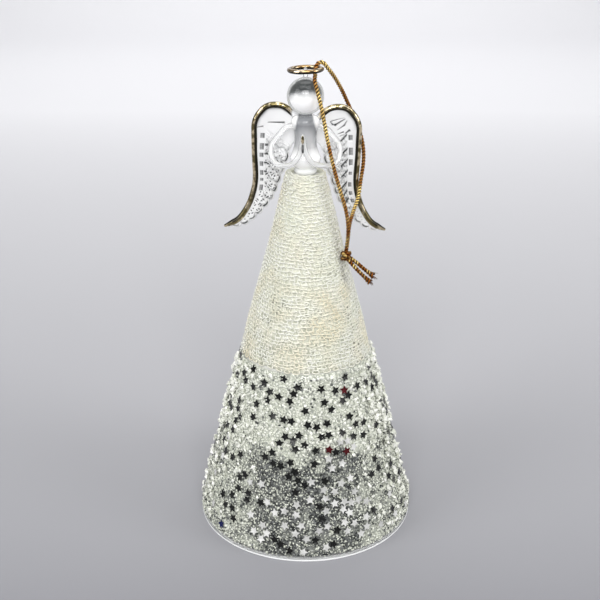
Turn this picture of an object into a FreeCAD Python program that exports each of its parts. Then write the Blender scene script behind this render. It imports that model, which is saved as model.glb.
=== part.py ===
"""Lamp-worked clear glass angel ornament with gold trim and a gold hanging cord.

Millimetres. The origin is the centre of the skirt's rim, +Z is up, the angel faces -Y
and +X is the viewer's right. Every piece of glass is its own solid and meets the piece
that it is fused to face to face. The cord hangs over the halo and swings on it.
"""
import FreeCAD, Part
import math
import os

V = FreeCAD.Vector
UP = V(0, 0, 1)

# ---- skirt: one blown cone, open below -------------------------------------------------
SKIRT_HEIGHT = 121.6
RIM_RADIUS = 37.4
SKIRT_TOP_RADIUS = 4.6
FLANK_BULGE = 0.5           # how far the flank swells past a straight cone at mid height
FLANK_STEPS = 4             # straight lengths that follow the swell
SKIRT_WALL = 1.25           # measured level
CROWN_THICKNESS = 2.4       # closed tip of the cone, which carries the figure
CROWN_ROUND = 0.6
RIM_HEIGHT = 1.5            # fire-polished bead round the open edge
RIM_SWELL = 0.35            # how far the bead stands inside the wall
RIM_ROUND = 0.35

# ---- what is laid on the skirt ---------------------------------------------------------
GLUE_FILM = 0.06            # under both coats
GLITTER_BOTTOM = 1.8
GLITTER_THICKNESS = 0.6
LACE_BOTTOM = 61.0
LACE_THICKNESS = 0.8
LACE_HEM = 0.45             # how far the rolled hem stands proud of the lace
LACE_COURSES = 10           # bands of knitted rows between the hem and the crown
COURSE_DEPTH = 0.2          # groove between two courses
LACE_TOP_MARGIN = 0.3       # bare glass left below the crown
COATS_APART = 0.25

# ---- star sequins ----------------------------------------------------------------------
STAR_RADIUS = 1.5           # centre to tip
STAR_WAIST = 0.46           # inner corners, as a share of STAR_RADIUS
STAR_FOIL = 0.14
STAR_LIFT = 0.03            # glue between the glitter and a sequin
STAR_COUNT = 96
STAR_MARGIN = 2.4           # least way from a sequin's centre to the glitter's edges
STAR_APART = 3.7            # least way between the centres of two sequins
GOLDEN_ANGLE = 137.508
STAR_TURN = 29.0            # degrees that each star is turned from the one before it
SILVER_BELOW = 24.0         # under this height two sequins in three are silver
# Angle round the skirt from +X, in degrees, and height of each coloured star.
RED_STARS = [(-58.5, 54.5), (-74.5, 36.5), (-62.5, 35.0), (70.0, 47.0), (160.0, 30.0)]
BLUE_STARS = [(-141.0, 4.4), (40.0, 21.0)]

# ---- figure ----------------------------------------------------------------------------
COLLAR_RADIUS = 3.7
COLLAR_HEIGHT = 2.1
TORSO_FOOT_RADIUS = 3.1
TORSO_HEM_RADIUS = 4.9
TORSO_HEM_RISE = 3.4        # the widest point, above the collar
TORSO_CHEST_RADIUS = 4.5
TORSO_CHEST_RISE = 14.3
TORSO_NECK_RISE = 16.7
UNDERSIDE_SAG = 0.35        # how far each arc of the outline stands off a straight line
WAIST_TUCK = 1.15           # how far the waist is inside a straight flank
WAIST_RISE = 1.75           # of the waist above the middle of the flank
SHOULDER_SWELL = 0.55
SHOULDER_RISE = 0.6         # shoulder line above the chest
NECK_RADIUS = 2.3
NECK_LENGTH = 0.7
HEAD_RADIUS = 5.85
HEAD_SINK = 0.6             # how deep the head has settled on the neck

# ---- arms: one drawn rod each, ending in a hand ----------------------------------------
ARM_RADIUS = 0.85
HAND_TIP_RADIUS = 0.4
ELBOW_REACH = 11.3
HANDS_X = -0.8              # plane in which the two palms meet
HANDS_HEIGHT = 8.2          # from the hem of the torso up to the finger tips
PALM_FLAT = 0.15            # how deep the two rods are pressed together
FOREARM_GAP = 0.3           # between the forearms and the hem of the torso
# Corners of an arm's route: share of ELBOW_REACH out, then depth and height in millimetres.
UPPER_ARM = [(0.10, 0.2, -1.2), (0.54, -0.3, -1.5), (1.0, -2.3, -7.6)]  # from the shoulder line
FOREARM = [(0.9, -4.3, -0.8), (0.62, -5.1, -1.8)]                       # from the torso's hem
WRIST_SPREAD = 2.4          # out from the palm, where the forearm turns up
WRIST_RISE = -0.9           # heights from the torso's hem
PALM_RISE = 2.6
PALM_REACH = 0.4            # how far the hands stand in front of the wrists
FINGER_SPREAD = 0.25

# ---- wings: a pressed leaf with a gold-lustred rim -------------------------------------
WING_ROOT_DROP = 2.2        # below the shoulder line
WING_ROOT_DEPTH = 2.6       # behind the axis
# How each wing was set when it was fused on: out, up and roll in degrees.
WING_SETS = {"left": (0.4, -0.4, -1.0), "right": (-0.4, 0.0, 1.0)}
WING_SWEEP = 5.7            # degrees, the outer part further back
WING_LEAN = 5.7             # degrees, the lower part further back
RIM_ROD_RADIUS = 1.0
RIM_TIP_RADIUS = 0.5
LEAF_THICKNESS = 1.0
FEATHER_HALF_WIDTH = 1.55
FEATHER_SET = 0.9           # from a feather's root on the rim to where its finger starts
VALLEY_DEPTH = 1.1          # between two feather tips
VEIN_RADIUS = 0.42          # rib along the middle of each feather
VEIN_MARGIN = 1.0           # from the end of a vein to the feather's tip
LADDER_STEPS = 7
LADDER_PITCH = 2.95
LADDER_CELL_WIDTH = 1.2
LADDER_CELL_HEIGHT = 1.6
LADDER_CELL_DEPTH = 0.45
LADDER_FIRST = -3.1         # height of the first cell from the wing's root
LADDER_LAND = 0.65          # between the rim rod and the cells
# Corners of the rim's route in the wing's own plane, out and up from the root.
WING_ROUTE = [(0.0, 0.0), (7.5, 6.7), (12.9, 6.4), (16.8, 1.5), (16.8, -10.4),
              (16.4, -19.4), (18.7, -27.2), (22.3, -33.0), (27.1, -35.5)]
# Root and tip of each feather, in the same plane.
FEATHERS = [((15.6, -1.4), (4.9, -7.0)), ((15.9, -4.9), (5.6, -11.0)),
            ((16.1, -8.4), (7.0, -14.9)), ((16.1, -11.9), (8.5, -18.8)),
            ((16.1, -15.1), (9.5, -21.8)), ((16.1, -18.4), (10.8, -25.0)),
            ((16.3, -21.4), (12.8, -27.6)), ((17.4, -24.8), (14.9, -30.3)),
            ((19.0, -27.8), (17.3, -32.7)), ((20.9, -30.6), (19.9, -34.7)),
            ((23.5, -33.2), (23.0, -36.0))]
# Inner side of the leaf, from the last valley up to where it is fused to the back.
LEAF_BACK = [(4.0, -5.4), (0.4, -2.9)]

# ---- halo ------------------------------------------------------------------------------
HALO_RADIUS = 5.05          # of the rod's centreline
HALO_ROD_RADIUS = 0.7
HALO_GAP = 1.55             # clear height between the head and the halo
HALO_TILT = 2.0             # degrees, the viewer's left side lower
STEM_RADIUS = 0.75
STEM_FOOT_ANGLE = 42.0      # degrees from the top of the head, at the back
STEM_ROOT = 0.9             # where the stem's axis starts inside the head, as a share of its radius

# ---- hanging cord ----------------------------------------------------------------------
CORD_DIAMETER = 1.2
ARC_SHARE = 0.45            # of the shorter run at a corner, taken up by its arc
KNOT_RADIUS = 1.7
KNOT_WRAP_RADIUS = 1.45
KNOT_CENTRE = V(13.0, -7.5, 96.5)
KNOT_TURNS = (35.0, -40.0)  # degrees, lean of the two wraps
CORD_ROUTE = [
    V(13.0, -8.1, 97.6), V(13.8, -8.1, 104.0), V(13.1, -7.7, 111.0), V(10.6, -7.1, 118.8),
    V(8.5, -6.9, 126.2), V(6.6, -6.7, 134.6), V(5.3, -6.4, 142.0), V(3.8, -6.1, 148.2),
    V(2.7, -4.2, 151.8), V(3.1, -1.3, 153.6), V(3.3, -0.2, 156.3), V(5.3, 0.1, 157.0),
    V(6.8, 0.8, 154.8), V(8.9, 2.9, 151.9), V(11.4, 5.7, 147.4), V(13.5, 7.7, 142.6),
    V(16.8, 8.7, 135.9), V(18.7, 8.0, 129.6), V(19.0, 6.9, 124.0), V(18.0, 5.0, 118.4),
    V(17.3, 2.7, 113.0), V(15.1, -1.9, 108.8), V(13.9, -5.9, 105.6), V(13.6, -6.6, 101.4),
    V(13.0, -6.8, 97.6),
]
TAIL_ROUTES = {
    "cord_tail_upper": [V(13.6, -7.5, 96.4), V(16.2, -8.2, 94.7), V(19.0, -8.8, 92.4), V(22.0, -9.2, 90.6)],
    "cord_tail_lower": [V(13.5, -8.2, 95.6), V(15.6, -9.2, 93.4), V(18.0, -9.9, 90.8), V(20.5, -10.2, 88.1)],
}

# ---- worked out from the sizes above ---------------------------------------------------
COLLAR_TOP = SKIRT_HEIGHT + COLLAR_HEIGHT
HEM_Z = COLLAR_TOP + TORSO_HEM_RISE
SHOULDER_Z = COLLAR_TOP + TORSO_CHEST_RISE + SHOULDER_RISE
NECK_TOP = COLLAR_TOP + TORSO_NECK_RISE + NECK_LENGTH
HEAD_Z = NECK_TOP - HEAD_SINK + HEAD_RADIUS
HALO_Z = HEAD_Z + HEAD_RADIUS + HALO_GAP + HALO_ROD_RADIUS
LACE_TOP = SKIRT_HEIGHT - CROWN_ROUND - LACE_TOP_MARGIN
GLITTER_TOP = LACE_BOTTOM - COATS_APART
GLITTER_FACE = GLUE_FILM + GLITTER_THICKNESS


# ---- helpers ---------------------------------------------------------------------------
def turned(edges):
    """Solid of revolution about Z from a closed outline in the XZ plane."""
    face = Part.Face(Part.Wire(Part.sortEdges(edges)[0]))
    return face.revolve(V(0, 0, 0), UP, 360)


def line(a, b):
    return Part.LineSegment(a, b).toShape()


def arc(a, b, c):
    return Part.Arc(a, b, c).toShape()


def chain(points):
    """Straight edges from each point to the next."""
    return [line(a, b) for a, b in zip(points, points[1:])]


def rounded_route(points):
    """Wire of straight runs joined by tangent arcs, with the radius of each arc."""
    edges = []
    radii = []
    start = points[0]
    for before, corner, after in zip(points, points[1:], points[2:]):
        back = before - corner
        ahead = after - corner
        reach = ARC_SHARE * min(back.Length, ahead.Length)
        back.normalize()
        ahead.normalize()
        half_turn = (math.pi - back.getAngle(ahead)) / 2
        radius = reach / math.tan(half_turn)
        inward = (back + ahead).normalize()
        sagitta = radius / math.cos(half_turn) - radius
        entry = corner + back * reach
        leave = corner + ahead * reach
        edges += [line(start, entry), arc(entry, corner + inward * sagitta, leave)]
        radii.append(radius)
        start = leave
    edges.append(line(start, points[-1]))
    return Part.Wire(edges), radii


def tube(wire, radius):
    """Round rod swept along a wire."""
    first = wire.Edges[0]
    direction = first.tangentAt(first.FirstParameter)
    start = first.valueAt(first.FirstParameter)
    ring = Part.Wire(Part.makeCircle(radius, start, direction))
    return wire.makePipeShell([ring], True, False)


def drawn_rod(points, radius, tip_radius):
    """Round rod along a rounded route, drawn to a thin round tip over its last run."""
    wire, _ = rounded_route(points)
    body = tube(Part.Wire(wire.Edges[:-1]), radius)
    last = wire.Edges[-1]
    start = last.valueAt(last.FirstParameter)
    end = last.valueAt(last.LastParameter)
    taper = Part.makeCone(radius, tip_radius, (end - start).Length, start, end - start)
    return body.fuse([taper, Part.makeSphere(tip_radius, end)]).removeSplitter()


def mirrored(shape):
    return shape.mirror(V(0, 0, 0), V(1, 0, 0))


# ---- skirt and its coats ---------------------------------------------------------------
def flank_radius(z):
    """Outer radius of the bare glass at a height."""
    share = z / SKIRT_HEIGHT
    straight = RIM_RADIUS + (SKIRT_TOP_RADIUS - RIM_RADIUS) * share
    return straight + 4 * FLANK_BULGE * share * (1 - share)


def flank_slope(z):
    """How much the radius falls for each millimetre of height."""
    share = z / SKIRT_HEIGHT
    swell = 4 * FLANK_BULGE * (1 - 2 * share)
    return (RIM_RADIUS - SKIRT_TOP_RADIUS - swell) / SKIRT_HEIGHT


def on_flank(z, offset):
    return V(flank_radius(z) + offset, 0, z)


def flank_edges(low, high, offset):
    """Edges that follow the flank between two heights, moved out by offset."""
    step = (high - low) / FLANK_STEPS
    return chain([on_flank(low + k * step, offset) for k in range(FLANK_STEPS + 1)])


def skirt_shell():
    """Hollow cone with a closed crown and a fire-polished rim that stands flat."""
    top = SKIRT_HEIGHT
    outer_low = RIM_ROUND
    outer_high = top - CROWN_ROUND
    crown = V(flank_radius(outer_high) - CROWN_ROUND, 0, top)
    crown_mid = V(flank_radius(outer_high) - CROWN_ROUND * 0.3, 0, top - CROWN_ROUND * 0.3)
    seat_out = V(flank_radius(0) - RIM_ROUND, 0, 0)
    corner = RIM_ROUND * (1 - math.sqrt(0.5))
    seat_mid = V(flank_radius(0) - corner, 0, corner)
    inner_top = top - CROWN_THICKNESS
    bead_in = flank_radius(RIM_HEIGHT / 2) - SKIRT_WALL - RIM_SWELL
    seat_in = V(bead_in + RIM_ROUND, 0, 0)
    edges = [
        line(V(0, 0, inner_top), V(0, 0, top)),
        line(V(0, 0, top), crown),
        arc(crown, crown_mid, on_flank(outer_high, 0)),
        arc(on_flank(outer_low, 0), seat_mid, seat_out),
        line(seat_out, seat_in),
        arc(seat_in, V(bead_in, 0, RIM_HEIGHT / 2), on_flank(RIM_HEIGHT, -SKIRT_WALL)),
        line(on_flank(inner_top, -SKIRT_WALL), V(0, 0, inner_top)),
    ]
    edges += flank_edges(outer_low, outer_high, 0)
    edges += flank_edges(RIM_HEIGHT, inner_top, -SKIRT_WALL)
    return turned(edges)


def glitter_coat():
    """Crust of glitter between the rim and the lace."""
    low, high = GLITTER_BOTTOM, GLITTER_TOP
    feather_low = low + GLITTER_THICKNESS
    edges = [
        line(on_flank(high, GLUE_FILM), on_flank(high, GLITTER_FACE)),
        line(on_flank(feather_low, GLITTER_FACE), on_flank(low, GLUE_FILM)),
    ]
    edges += flank_edges(low, high, GLUE_FILM)
    edges += flank_edges(feather_low, high, GLITTER_FACE)
    return turned(edges)


def lace_sleeve():
    """Spun-glass lace in level courses, with a rolled hem at its lower edge."""
    face = GLUE_FILM + LACE_THICKNESS
    hem_top = LACE_BOTTOM + 2 * (LACE_THICKNESS + LACE_HEM)
    hem_mid = (LACE_BOTTOM + hem_top) / 2
    course = (LACE_TOP - hem_top) / LACE_COURSES
    edges = [
        arc(
            on_flank(LACE_BOTTOM, GLUE_FILM),
            on_flank(hem_mid, face + LACE_HEM),
            on_flank(hem_top, face - COURSE_DEPTH),
        )
    ]
    for k in range(LACE_COURSES):
        low = hem_top + k * course
        edges += chain([
            on_flank(low, face - COURSE_DEPTH),
            on_flank(low + course / 2, face),
            on_flank(low + course, face - COURSE_DEPTH),
        ])
    edges.append(line(on_flank(LACE_TOP, face - COURSE_DEPTH), on_flank(LACE_TOP, GLUE_FILM)))
    edges += flank_edges(LACE_BOTTOM, LACE_TOP, GLUE_FILM)
    return turned(edges)


# ---- star sequins ----------------------------------------------------------------------
def star_blank():
    """One five-pointed foil star, flat on the XY plane."""
    corners = []
    for k in range(10):
        radius = STAR_RADIUS if k % 2 == 0 else STAR_RADIUS * STAR_WAIST
        angle = math.pi / 2 + k * math.pi / 5
        corners.append(V(radius * math.cos(angle), radius * math.sin(angle), 0))
    face = Part.Face(Part.makePolygon(corners + corners[:1]))
    return face.extrude(V(0, 0, STAR_FOIL))


def star_centre(angle, z):
    reach = flank_radius(z) + GLITTER_FACE
    turn = math.radians(angle)
    return V(reach * math.cos(turn), reach * math.sin(turn), z)


def star_on_skirt(blank, angle, z, spin):
    """A sequin flat on the glitter at an angle round the skirt and a height."""
    turn = math.radians(angle)
    slope = math.atan(flank_slope(z))
    outward = V(math.cos(turn) * math.cos(slope), math.sin(turn) * math.cos(slope), math.sin(slope))
    level = V(-math.sin(turn), math.cos(turn), 0)
    facing = FreeCAD.Rotation(level, outward.cross(level), outward, "ZXY")
    spun = FreeCAD.Rotation(V(0, 0, 1), spin)
    star = blank.copy()
    star.Placement = FreeCAD.Placement(star_centre(angle, z) + outward * STAR_LIFT, facing * spun)
    return star


def scattered_places():
    """Angles and heights spread evenly over the glitter, skipping the coloured stars."""
    low = GLITTER_BOTTOM + STAR_MARGIN
    high = GLITTER_TOP - STAR_MARGIN
    wide, narrow = flank_radius(low), flank_radius(high)
    coloured = [star_centre(*place) for place in RED_STARS + BLUE_STARS]
    places = []
    for k in range(STAR_COUNT):
        share = (k + 0.5) / STAR_COUNT
        # Equal areas of cone for equal shares.
        radius = math.sqrt(wide ** 2 + (narrow ** 2 - wide ** 2) * share)
        z = low + (high - low) * (wide - radius) / (wide - narrow)
        angle = (k * GOLDEN_ANGLE) % 360
        if all((star_centre(angle, z) - other).Length > STAR_APART for other in coloured):
            places.append((angle, z))
    return places


def star_sequins():
    """The four colours of foil star, each as a group of loose solids."""
    blank = star_blank()
    groups = {"dark": [], "silver": [], "red": [], "blue": []}
    for k, (angle, z) in enumerate(scattered_places()):
        silver = z < SILVER_BELOW and k % 3 != 0
        groups["silver" if silver else "dark"].append(star_on_skirt(blank, angle, z, STAR_TURN * k))
    for colour, places in (("red", RED_STARS), ("blue", BLUE_STARS)):
        groups[colour] = [
            star_on_skirt(blank, angle, z, STAR_TURN * k) for k, (angle, z) in enumerate(places)
        ]
    return {"stars_" + colour: Part.makeCompound(stars) for colour, stars in groups.items()}


# ---- figure ----------------------------------------------------------------------------
def collar_bead():
    """Rounded bead of glass between the crown of the skirt and the torso."""
    low, high = SKIRT_HEIGHT, COLLAR_TOP
    shoulder = COLLAR_RADIUS - COLLAR_HEIGHT / 2
    edges = [
        line(V(0, 0, low), V(shoulder, 0, low)),
        arc(V(shoulder, 0, low), V(COLLAR_RADIUS, 0, (low + high) / 2), V(shoulder, 0, high)),
        line(V(shoulder, 0, high), V(0, 0, high)),
        line(V(0, 0, high), V(0, 0, low)),
    ]
    return turned(edges)


def head():
    return Part.makeSphere(HEAD_RADIUS, V(0, 0, HEAD_Z))


def torso():
    """Solid bell of glass, from the collar up to the neck that carries the head."""
    foot = V(TORSO_FOOT_RADIUS, 0, COLLAR_TOP)
    hem = V(TORSO_HEM_RADIUS, 0, HEM_Z)
    chest = V(TORSO_CHEST_RADIUS, 0, COLLAR_TOP + TORSO_CHEST_RISE)
    nape = V(NECK_RADIUS, 0, COLLAR_TOP + TORSO_NECK_RISE)
    waist = (hem + chest) / 2 + V(-WAIST_TUCK, 0, WAIST_RISE)
    under = (foot + hem) / 2 + V(UNDERSIDE_SAG, 0, -UNDERSIDE_SAG)
    shoulder = (chest + nape) / 2 + V(SHOULDER_SWELL, 0, SHOULDER_SWELL)
    top = V(NECK_RADIUS, 0, NECK_TOP)
    edges = [
        line(V(0, 0, foot.z), foot),
        arc(foot, under, hem),
        arc(hem, waist, chest),
        arc(chest, shoulder, nape),
        line(nape, top),
        line(top, V(0, 0, top.z)),
        line(V(0, 0, top.z), V(0, 0, foot.z)),
    ]
    return turned(edges).cut(head())


def arm_rod(side):
    """One arm, side +1 or -1: shoulder, elbow, forearm and hand in one drawn rod."""
    front = -(TORSO_HEM_RADIUS + ARM_RADIUS + FOREARM_GAP)
    palm = ARM_RADIUS - PALM_FLAT
    route = []
    for base, corners in ((SHOULDER_Z, UPPER_ARM), (HEM_Z, FOREARM)):
        for share, depth, height in corners:
            route.append(V(side * share * ELBOW_REACH, depth, base + height))
    route += [
        V(HANDS_X + side * (palm + WRIST_SPREAD), front, HEM_Z + WRIST_RISE),
        V(HANDS_X + side * palm, front - PALM_REACH, HEM_Z + PALM_RISE),
        V(HANDS_X + side * FINGER_SPREAD, front - PALM_REACH, HEM_Z + HANDS_HEIGHT),
    ]
    return drawn_rod(route, ARM_RADIUS, HAND_TIP_RADIUS)


def arms():
    """Both arms, fused to the shoulders and pressed together palm to palm."""
    body = torso()
    reach = 4 * ELBOW_REACH
    found = {}
    for name, side in (("arm_left", 1), ("arm_right", -1)):
        near = HANDS_X if side < 0 else HANDS_X - reach
        beyond = Part.makeBox(reach, reach, reach, V(near, -reach / 2, HEM_Z - reach / 2))
        hand_half = arm_rod(side).cut(beyond)
        found[name] = hand_half.cut(body)
    return found


# ---- wings -----------------------------------------------------------------------------
def in_wing(shape, side):
    """A copy of a shape drawn in the wing's upright plane, moved to a wing's place at +X."""
    out, up, roll = WING_SETS[side]
    placed = shape.copy()
    placed.rotate(V(0, 0, 0), V(0, 1, 0), -roll)
    placed.rotate(V(0, 0, 0), V(1, 0, 0), WING_LEAN)
    placed.rotate(V(0, 0, 0), UP, WING_SWEEP)
    placed.translate(V(out, WING_ROOT_DEPTH, SHOULDER_Z - WING_ROOT_DROP + up))
    return placed


def flat(point, depth=0.0):
    """Point of the wing's own plane."""
    return V(point[0], depth, point[1])


def rim_rod():
    """Rim of the wing, in the wing's upright plane. It starts past the middle plane."""
    first, second = flat(WING_ROUTE[0]), flat(WING_ROUTE[1])
    inward = (first - second).normalize()
    start = first + inward * 3 * RIM_ROD_RADIUS
    return drawn_rod([start] + [flat(p) for p in WING_ROUTE[1:]], RIM_ROD_RADIUS, RIM_TIP_RADIUS)


def feather_prism(root, tip):
    """One finger of the leaf with a round end."""
    along = (tip - root).normalize()
    across = V(along.z, 0, -along.x) * FEATHER_HALF_WIDTH
    start = root + along * FEATHER_SET
    centre = tip - along * FEATHER_HALF_WIDTH
    edges = [
        line(start + across, centre + across),
        arc(centre + across, tip, centre - across),
        line(centre - across, start - across),
        line(start - across, start + across),
    ]
    prism = Part.Face(Part.Wire(edges)).extrude(V(0, LEAF_THICKNESS, 0))
    prism.translate(V(0, -LEAF_THICKNESS / 2, 0))
    return prism


def feather_vein(root, tip):
    """Rib on the front face of a feather."""
    length = (tip - root).Length - FEATHER_SET - VEIN_MARGIN
    along = (tip - root).normalize()
    start = root + along * FEATHER_SET + V(0, -LEAF_THICKNESS / 2, 0)
    return Part.makeCylinder(VEIN_RADIUS, length, start, along)


def ladder_cells():
    """Pressed cells in the front face, one above the other beside the rim."""
    rim_side = WING_ROUTE[3][0] - RIM_ROD_RADIUS - LADDER_LAND
    cells = []
    for k in range(LADDER_STEPS):
        low = LADDER_FIRST - k * LADDER_PITCH - LADDER_CELL_HEIGHT / 2
        corner = V(rim_side - LADDER_CELL_WIDTH, -LEAF_THICKNESS, low)
        deep = LEAF_THICKNESS / 2 + LADDER_CELL_DEPTH
        cells.append(Part.makeBox(LADDER_CELL_WIDTH, deep, LADDER_CELL_HEIGHT, corner))
    return cells


def leaf():
    """Pressed leaf of the wing: a web with rounded feathers, veins and ladder cells."""
    rim, _ = rounded_route([flat(p) for p in WING_ROUTE])
    rim_line = [rim.Edges[0].Vertexes[0].Point]
    for edge in rim.Edges:
        first, last = edge.FirstParameter, edge.LastParameter
        rim_line += [edge.valueAt((first + last) / 2), edge.valueAt(last)]
    feathers = [(flat(root), flat(tip)) for root, tip in FEATHERS]
    valleys = []
    for (root, tip), (_, next_tip) in zip(feathers, feathers[1:]):
        inward = (root - tip).normalize()
        valleys.append((tip + next_tip) * 0.5 + inward * VALLEY_DEPTH)
    outline = rim_line + valleys[::-1] + [flat(p) for p in LEAF_BACK]
    web = Part.Face(Part.makePolygon(outline + outline[:1])).extrude(V(0, LEAF_THICKNESS, 0))
    web.translate(V(0, -LEAF_THICKNESS / 2, 0))
    pieces = [feather_prism(root, tip) for root, tip in feathers]
    veins = [feather_vein(root, tip) for root, tip in feathers]
    return web.fuse(pieces + veins).cut(ladder_cells()).cut(rim_rod()).removeSplitter()


def wings():
    """Rims and leaves of both wings, fused to the torso's back and to each other."""
    body = torso()
    flat_rim, flat_leaf = rim_rod(), leaf()
    reach = 3 * HEAD_RADIUS
    past_middle = Part.makeBox(reach, 2 * reach, 2 * reach, V(-reach, -reach, SHOULDER_Z - reach))
    found = {}
    for side in WING_SETS:
        rim = in_wing(flat_rim, side).cut([past_middle, body])
        pane = in_wing(flat_leaf, side).cut([past_middle, body])
        found["wing_rim_" + side] = rim if side == "left" else mirrored(rim)
        found["wing_leaf_" + side] = pane if side == "left" else mirrored(pane)
    return found


# ---- halo ------------------------------------------------------------------------------
def halo_ring():
    ring = Part.makeTorus(HALO_RADIUS, HALO_ROD_RADIUS)
    ring.rotate(V(0, 0, 0), V(0, 1, 0), -HALO_TILT)
    ring.translate(V(0, 0, HALO_Z))
    return ring


def halo_stem():
    """Short post from the back of the head up to the back of the halo."""
    turn = math.radians(STEM_FOOT_ANGLE)
    root = STEM_ROOT * HEAD_RADIUS
    foot = V(0, root * math.sin(turn), HEAD_Z + root * math.cos(turn))
    top = V(0, HALO_RADIUS, HALO_Z)
    post = Part.makeCylinder(STEM_RADIUS, (top - foot).Length, foot, top - foot)
    return post.cut(head()).cut(halo_ring())


# ---- hanging cord ----------------------------------------------------------------------
def cord_knot():
    """Overhand knot of the doubled cord: a round core with two leaning wraps."""
    core = Part.makeSphere(KNOT_RADIUS, KNOT_CENTRE)
    wraps = []
    for lean in KNOT_TURNS:
        axis = V(math.sin(math.radians(lean)), 0.25, math.cos(math.radians(lean)))
        wraps.append(Part.makeTorus(KNOT_WRAP_RADIUS, CORD_DIAMETER / 2, KNOT_CENTRE, axis))
    return core.fuse(wraps)


def cord_piece(name, route, knot):
    """Tube of cord along a route, ending at the knot. Prints its radii and volume."""
    wire, radii = rounded_route(route)
    whole = tube(wire, CORD_DIAMETER / 2)
    section = math.pi * (CORD_DIAMETER / 2) ** 2
    ratio = whole.Volume / (section * wire.Length)
    print(name, "length %.1f" % wire.Length, "volume ratio %.4f" % ratio)
    print("  radii", " ".join("%.1f" % radius for radius in radii))
    return whole.cut(knot)


def cord():
    knot = cord_knot()
    found = {"cord_knot": knot, "hanging_cord": cord_piece("hanging_cord", CORD_ROUTE, knot)}
    for name, route in TAIL_ROUTES.items():
        found[name] = cord_piece(name, route, knot)
    return found


def pieces():
    """Every piece by the name of its node."""
    found = {
        "skirt_shell": skirt_shell(),
        "glitter_coat": glitter_coat(),
        "lace_sleeve": lace_sleeve(),
        "collar_bead": collar_bead(),
        "torso": torso(),
        "head": head(),
        "halo_stem": halo_stem(),
        "halo_ring": halo_ring(),
    }
    found.update(star_sequins())
    found.update(arms())
    found.update(wings())
    found.update(cord())
    return found


os.makedirs("parts", exist_ok=True)
for node, shape in pieces().items():
    shape.exportStep("parts/" + node + ".step")
    print(node, len(shape.Solids), "solids", "%.1f mm3" % shape.Volume, "valid", shape.isValid())
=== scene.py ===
"""Dresses the glass angel: clear glass, spun lace, glitter, star sequins, gold lustre, gold cord.

Everything is in metres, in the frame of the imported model: the origin is the centre of the
skirt's rim, +Z is up, the angel faces -Y and +X is the viewer's right.
"""

import logging
import math
from dataclasses import dataclass, field
from enum import Enum
from typing import Any, Dict, Iterable, List, Mapping, Optional, Sequence, Tuple, Union

import bpy
import numpy as np
from mathutils import Matrix, Vector


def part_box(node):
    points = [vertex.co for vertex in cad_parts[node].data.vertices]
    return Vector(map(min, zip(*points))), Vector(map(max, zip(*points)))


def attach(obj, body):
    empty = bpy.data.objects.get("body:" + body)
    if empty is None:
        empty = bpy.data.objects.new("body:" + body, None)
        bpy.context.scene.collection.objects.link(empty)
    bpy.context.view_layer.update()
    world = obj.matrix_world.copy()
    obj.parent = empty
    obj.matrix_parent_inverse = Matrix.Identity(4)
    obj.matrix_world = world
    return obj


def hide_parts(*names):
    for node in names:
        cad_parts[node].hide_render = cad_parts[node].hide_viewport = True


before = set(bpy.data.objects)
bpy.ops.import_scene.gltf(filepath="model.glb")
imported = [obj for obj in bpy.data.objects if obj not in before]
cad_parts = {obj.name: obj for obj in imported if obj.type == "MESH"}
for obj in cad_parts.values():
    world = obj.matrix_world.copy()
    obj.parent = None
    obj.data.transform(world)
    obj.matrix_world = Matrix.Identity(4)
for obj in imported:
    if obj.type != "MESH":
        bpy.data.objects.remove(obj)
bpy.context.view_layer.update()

LOG = logging.getLogger("angel")
MM = 0.001
TAU = 2 * math.pi

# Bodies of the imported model.
ANGEL = "angel"
HANGING_LOOP = "hanging_loop"

Colour = Tuple[float, float, float, float]
Point = Tuple[float, float, float]
Array = np.ndarray
Random = np.random.Generator
Pair = Tuple[float, float]
# Place and colour of each stop of a ramp, from the lowest place.
Stops = Sequence[Tuple[float, Colour]]
# Points and faces.
Shape = Tuple[Array, Array]
# Angle from +X and height on the skirt: radians and metres, or degrees and millimetres in a table.
Place = Tuple[float, float]
# Size of a wave, how many go round the skirt, its turn for each millimetre up, and its start.
Wave = Tuple[float, int, float, float]
Number = Union[float, "Value"]
Socket = bpy.types.NodeSocket
Material = bpy.types.Material
Object = bpy.types.Object

EVEN: Point = (1.0, 1.0, 1.0)
# A direction that no path starts along.
ASKEW: Point = (0.31, 0.17, 0.93)
# Corners of one grain or crumb, which is an octahedron.
GRAIN_CORNERS = 6


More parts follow.
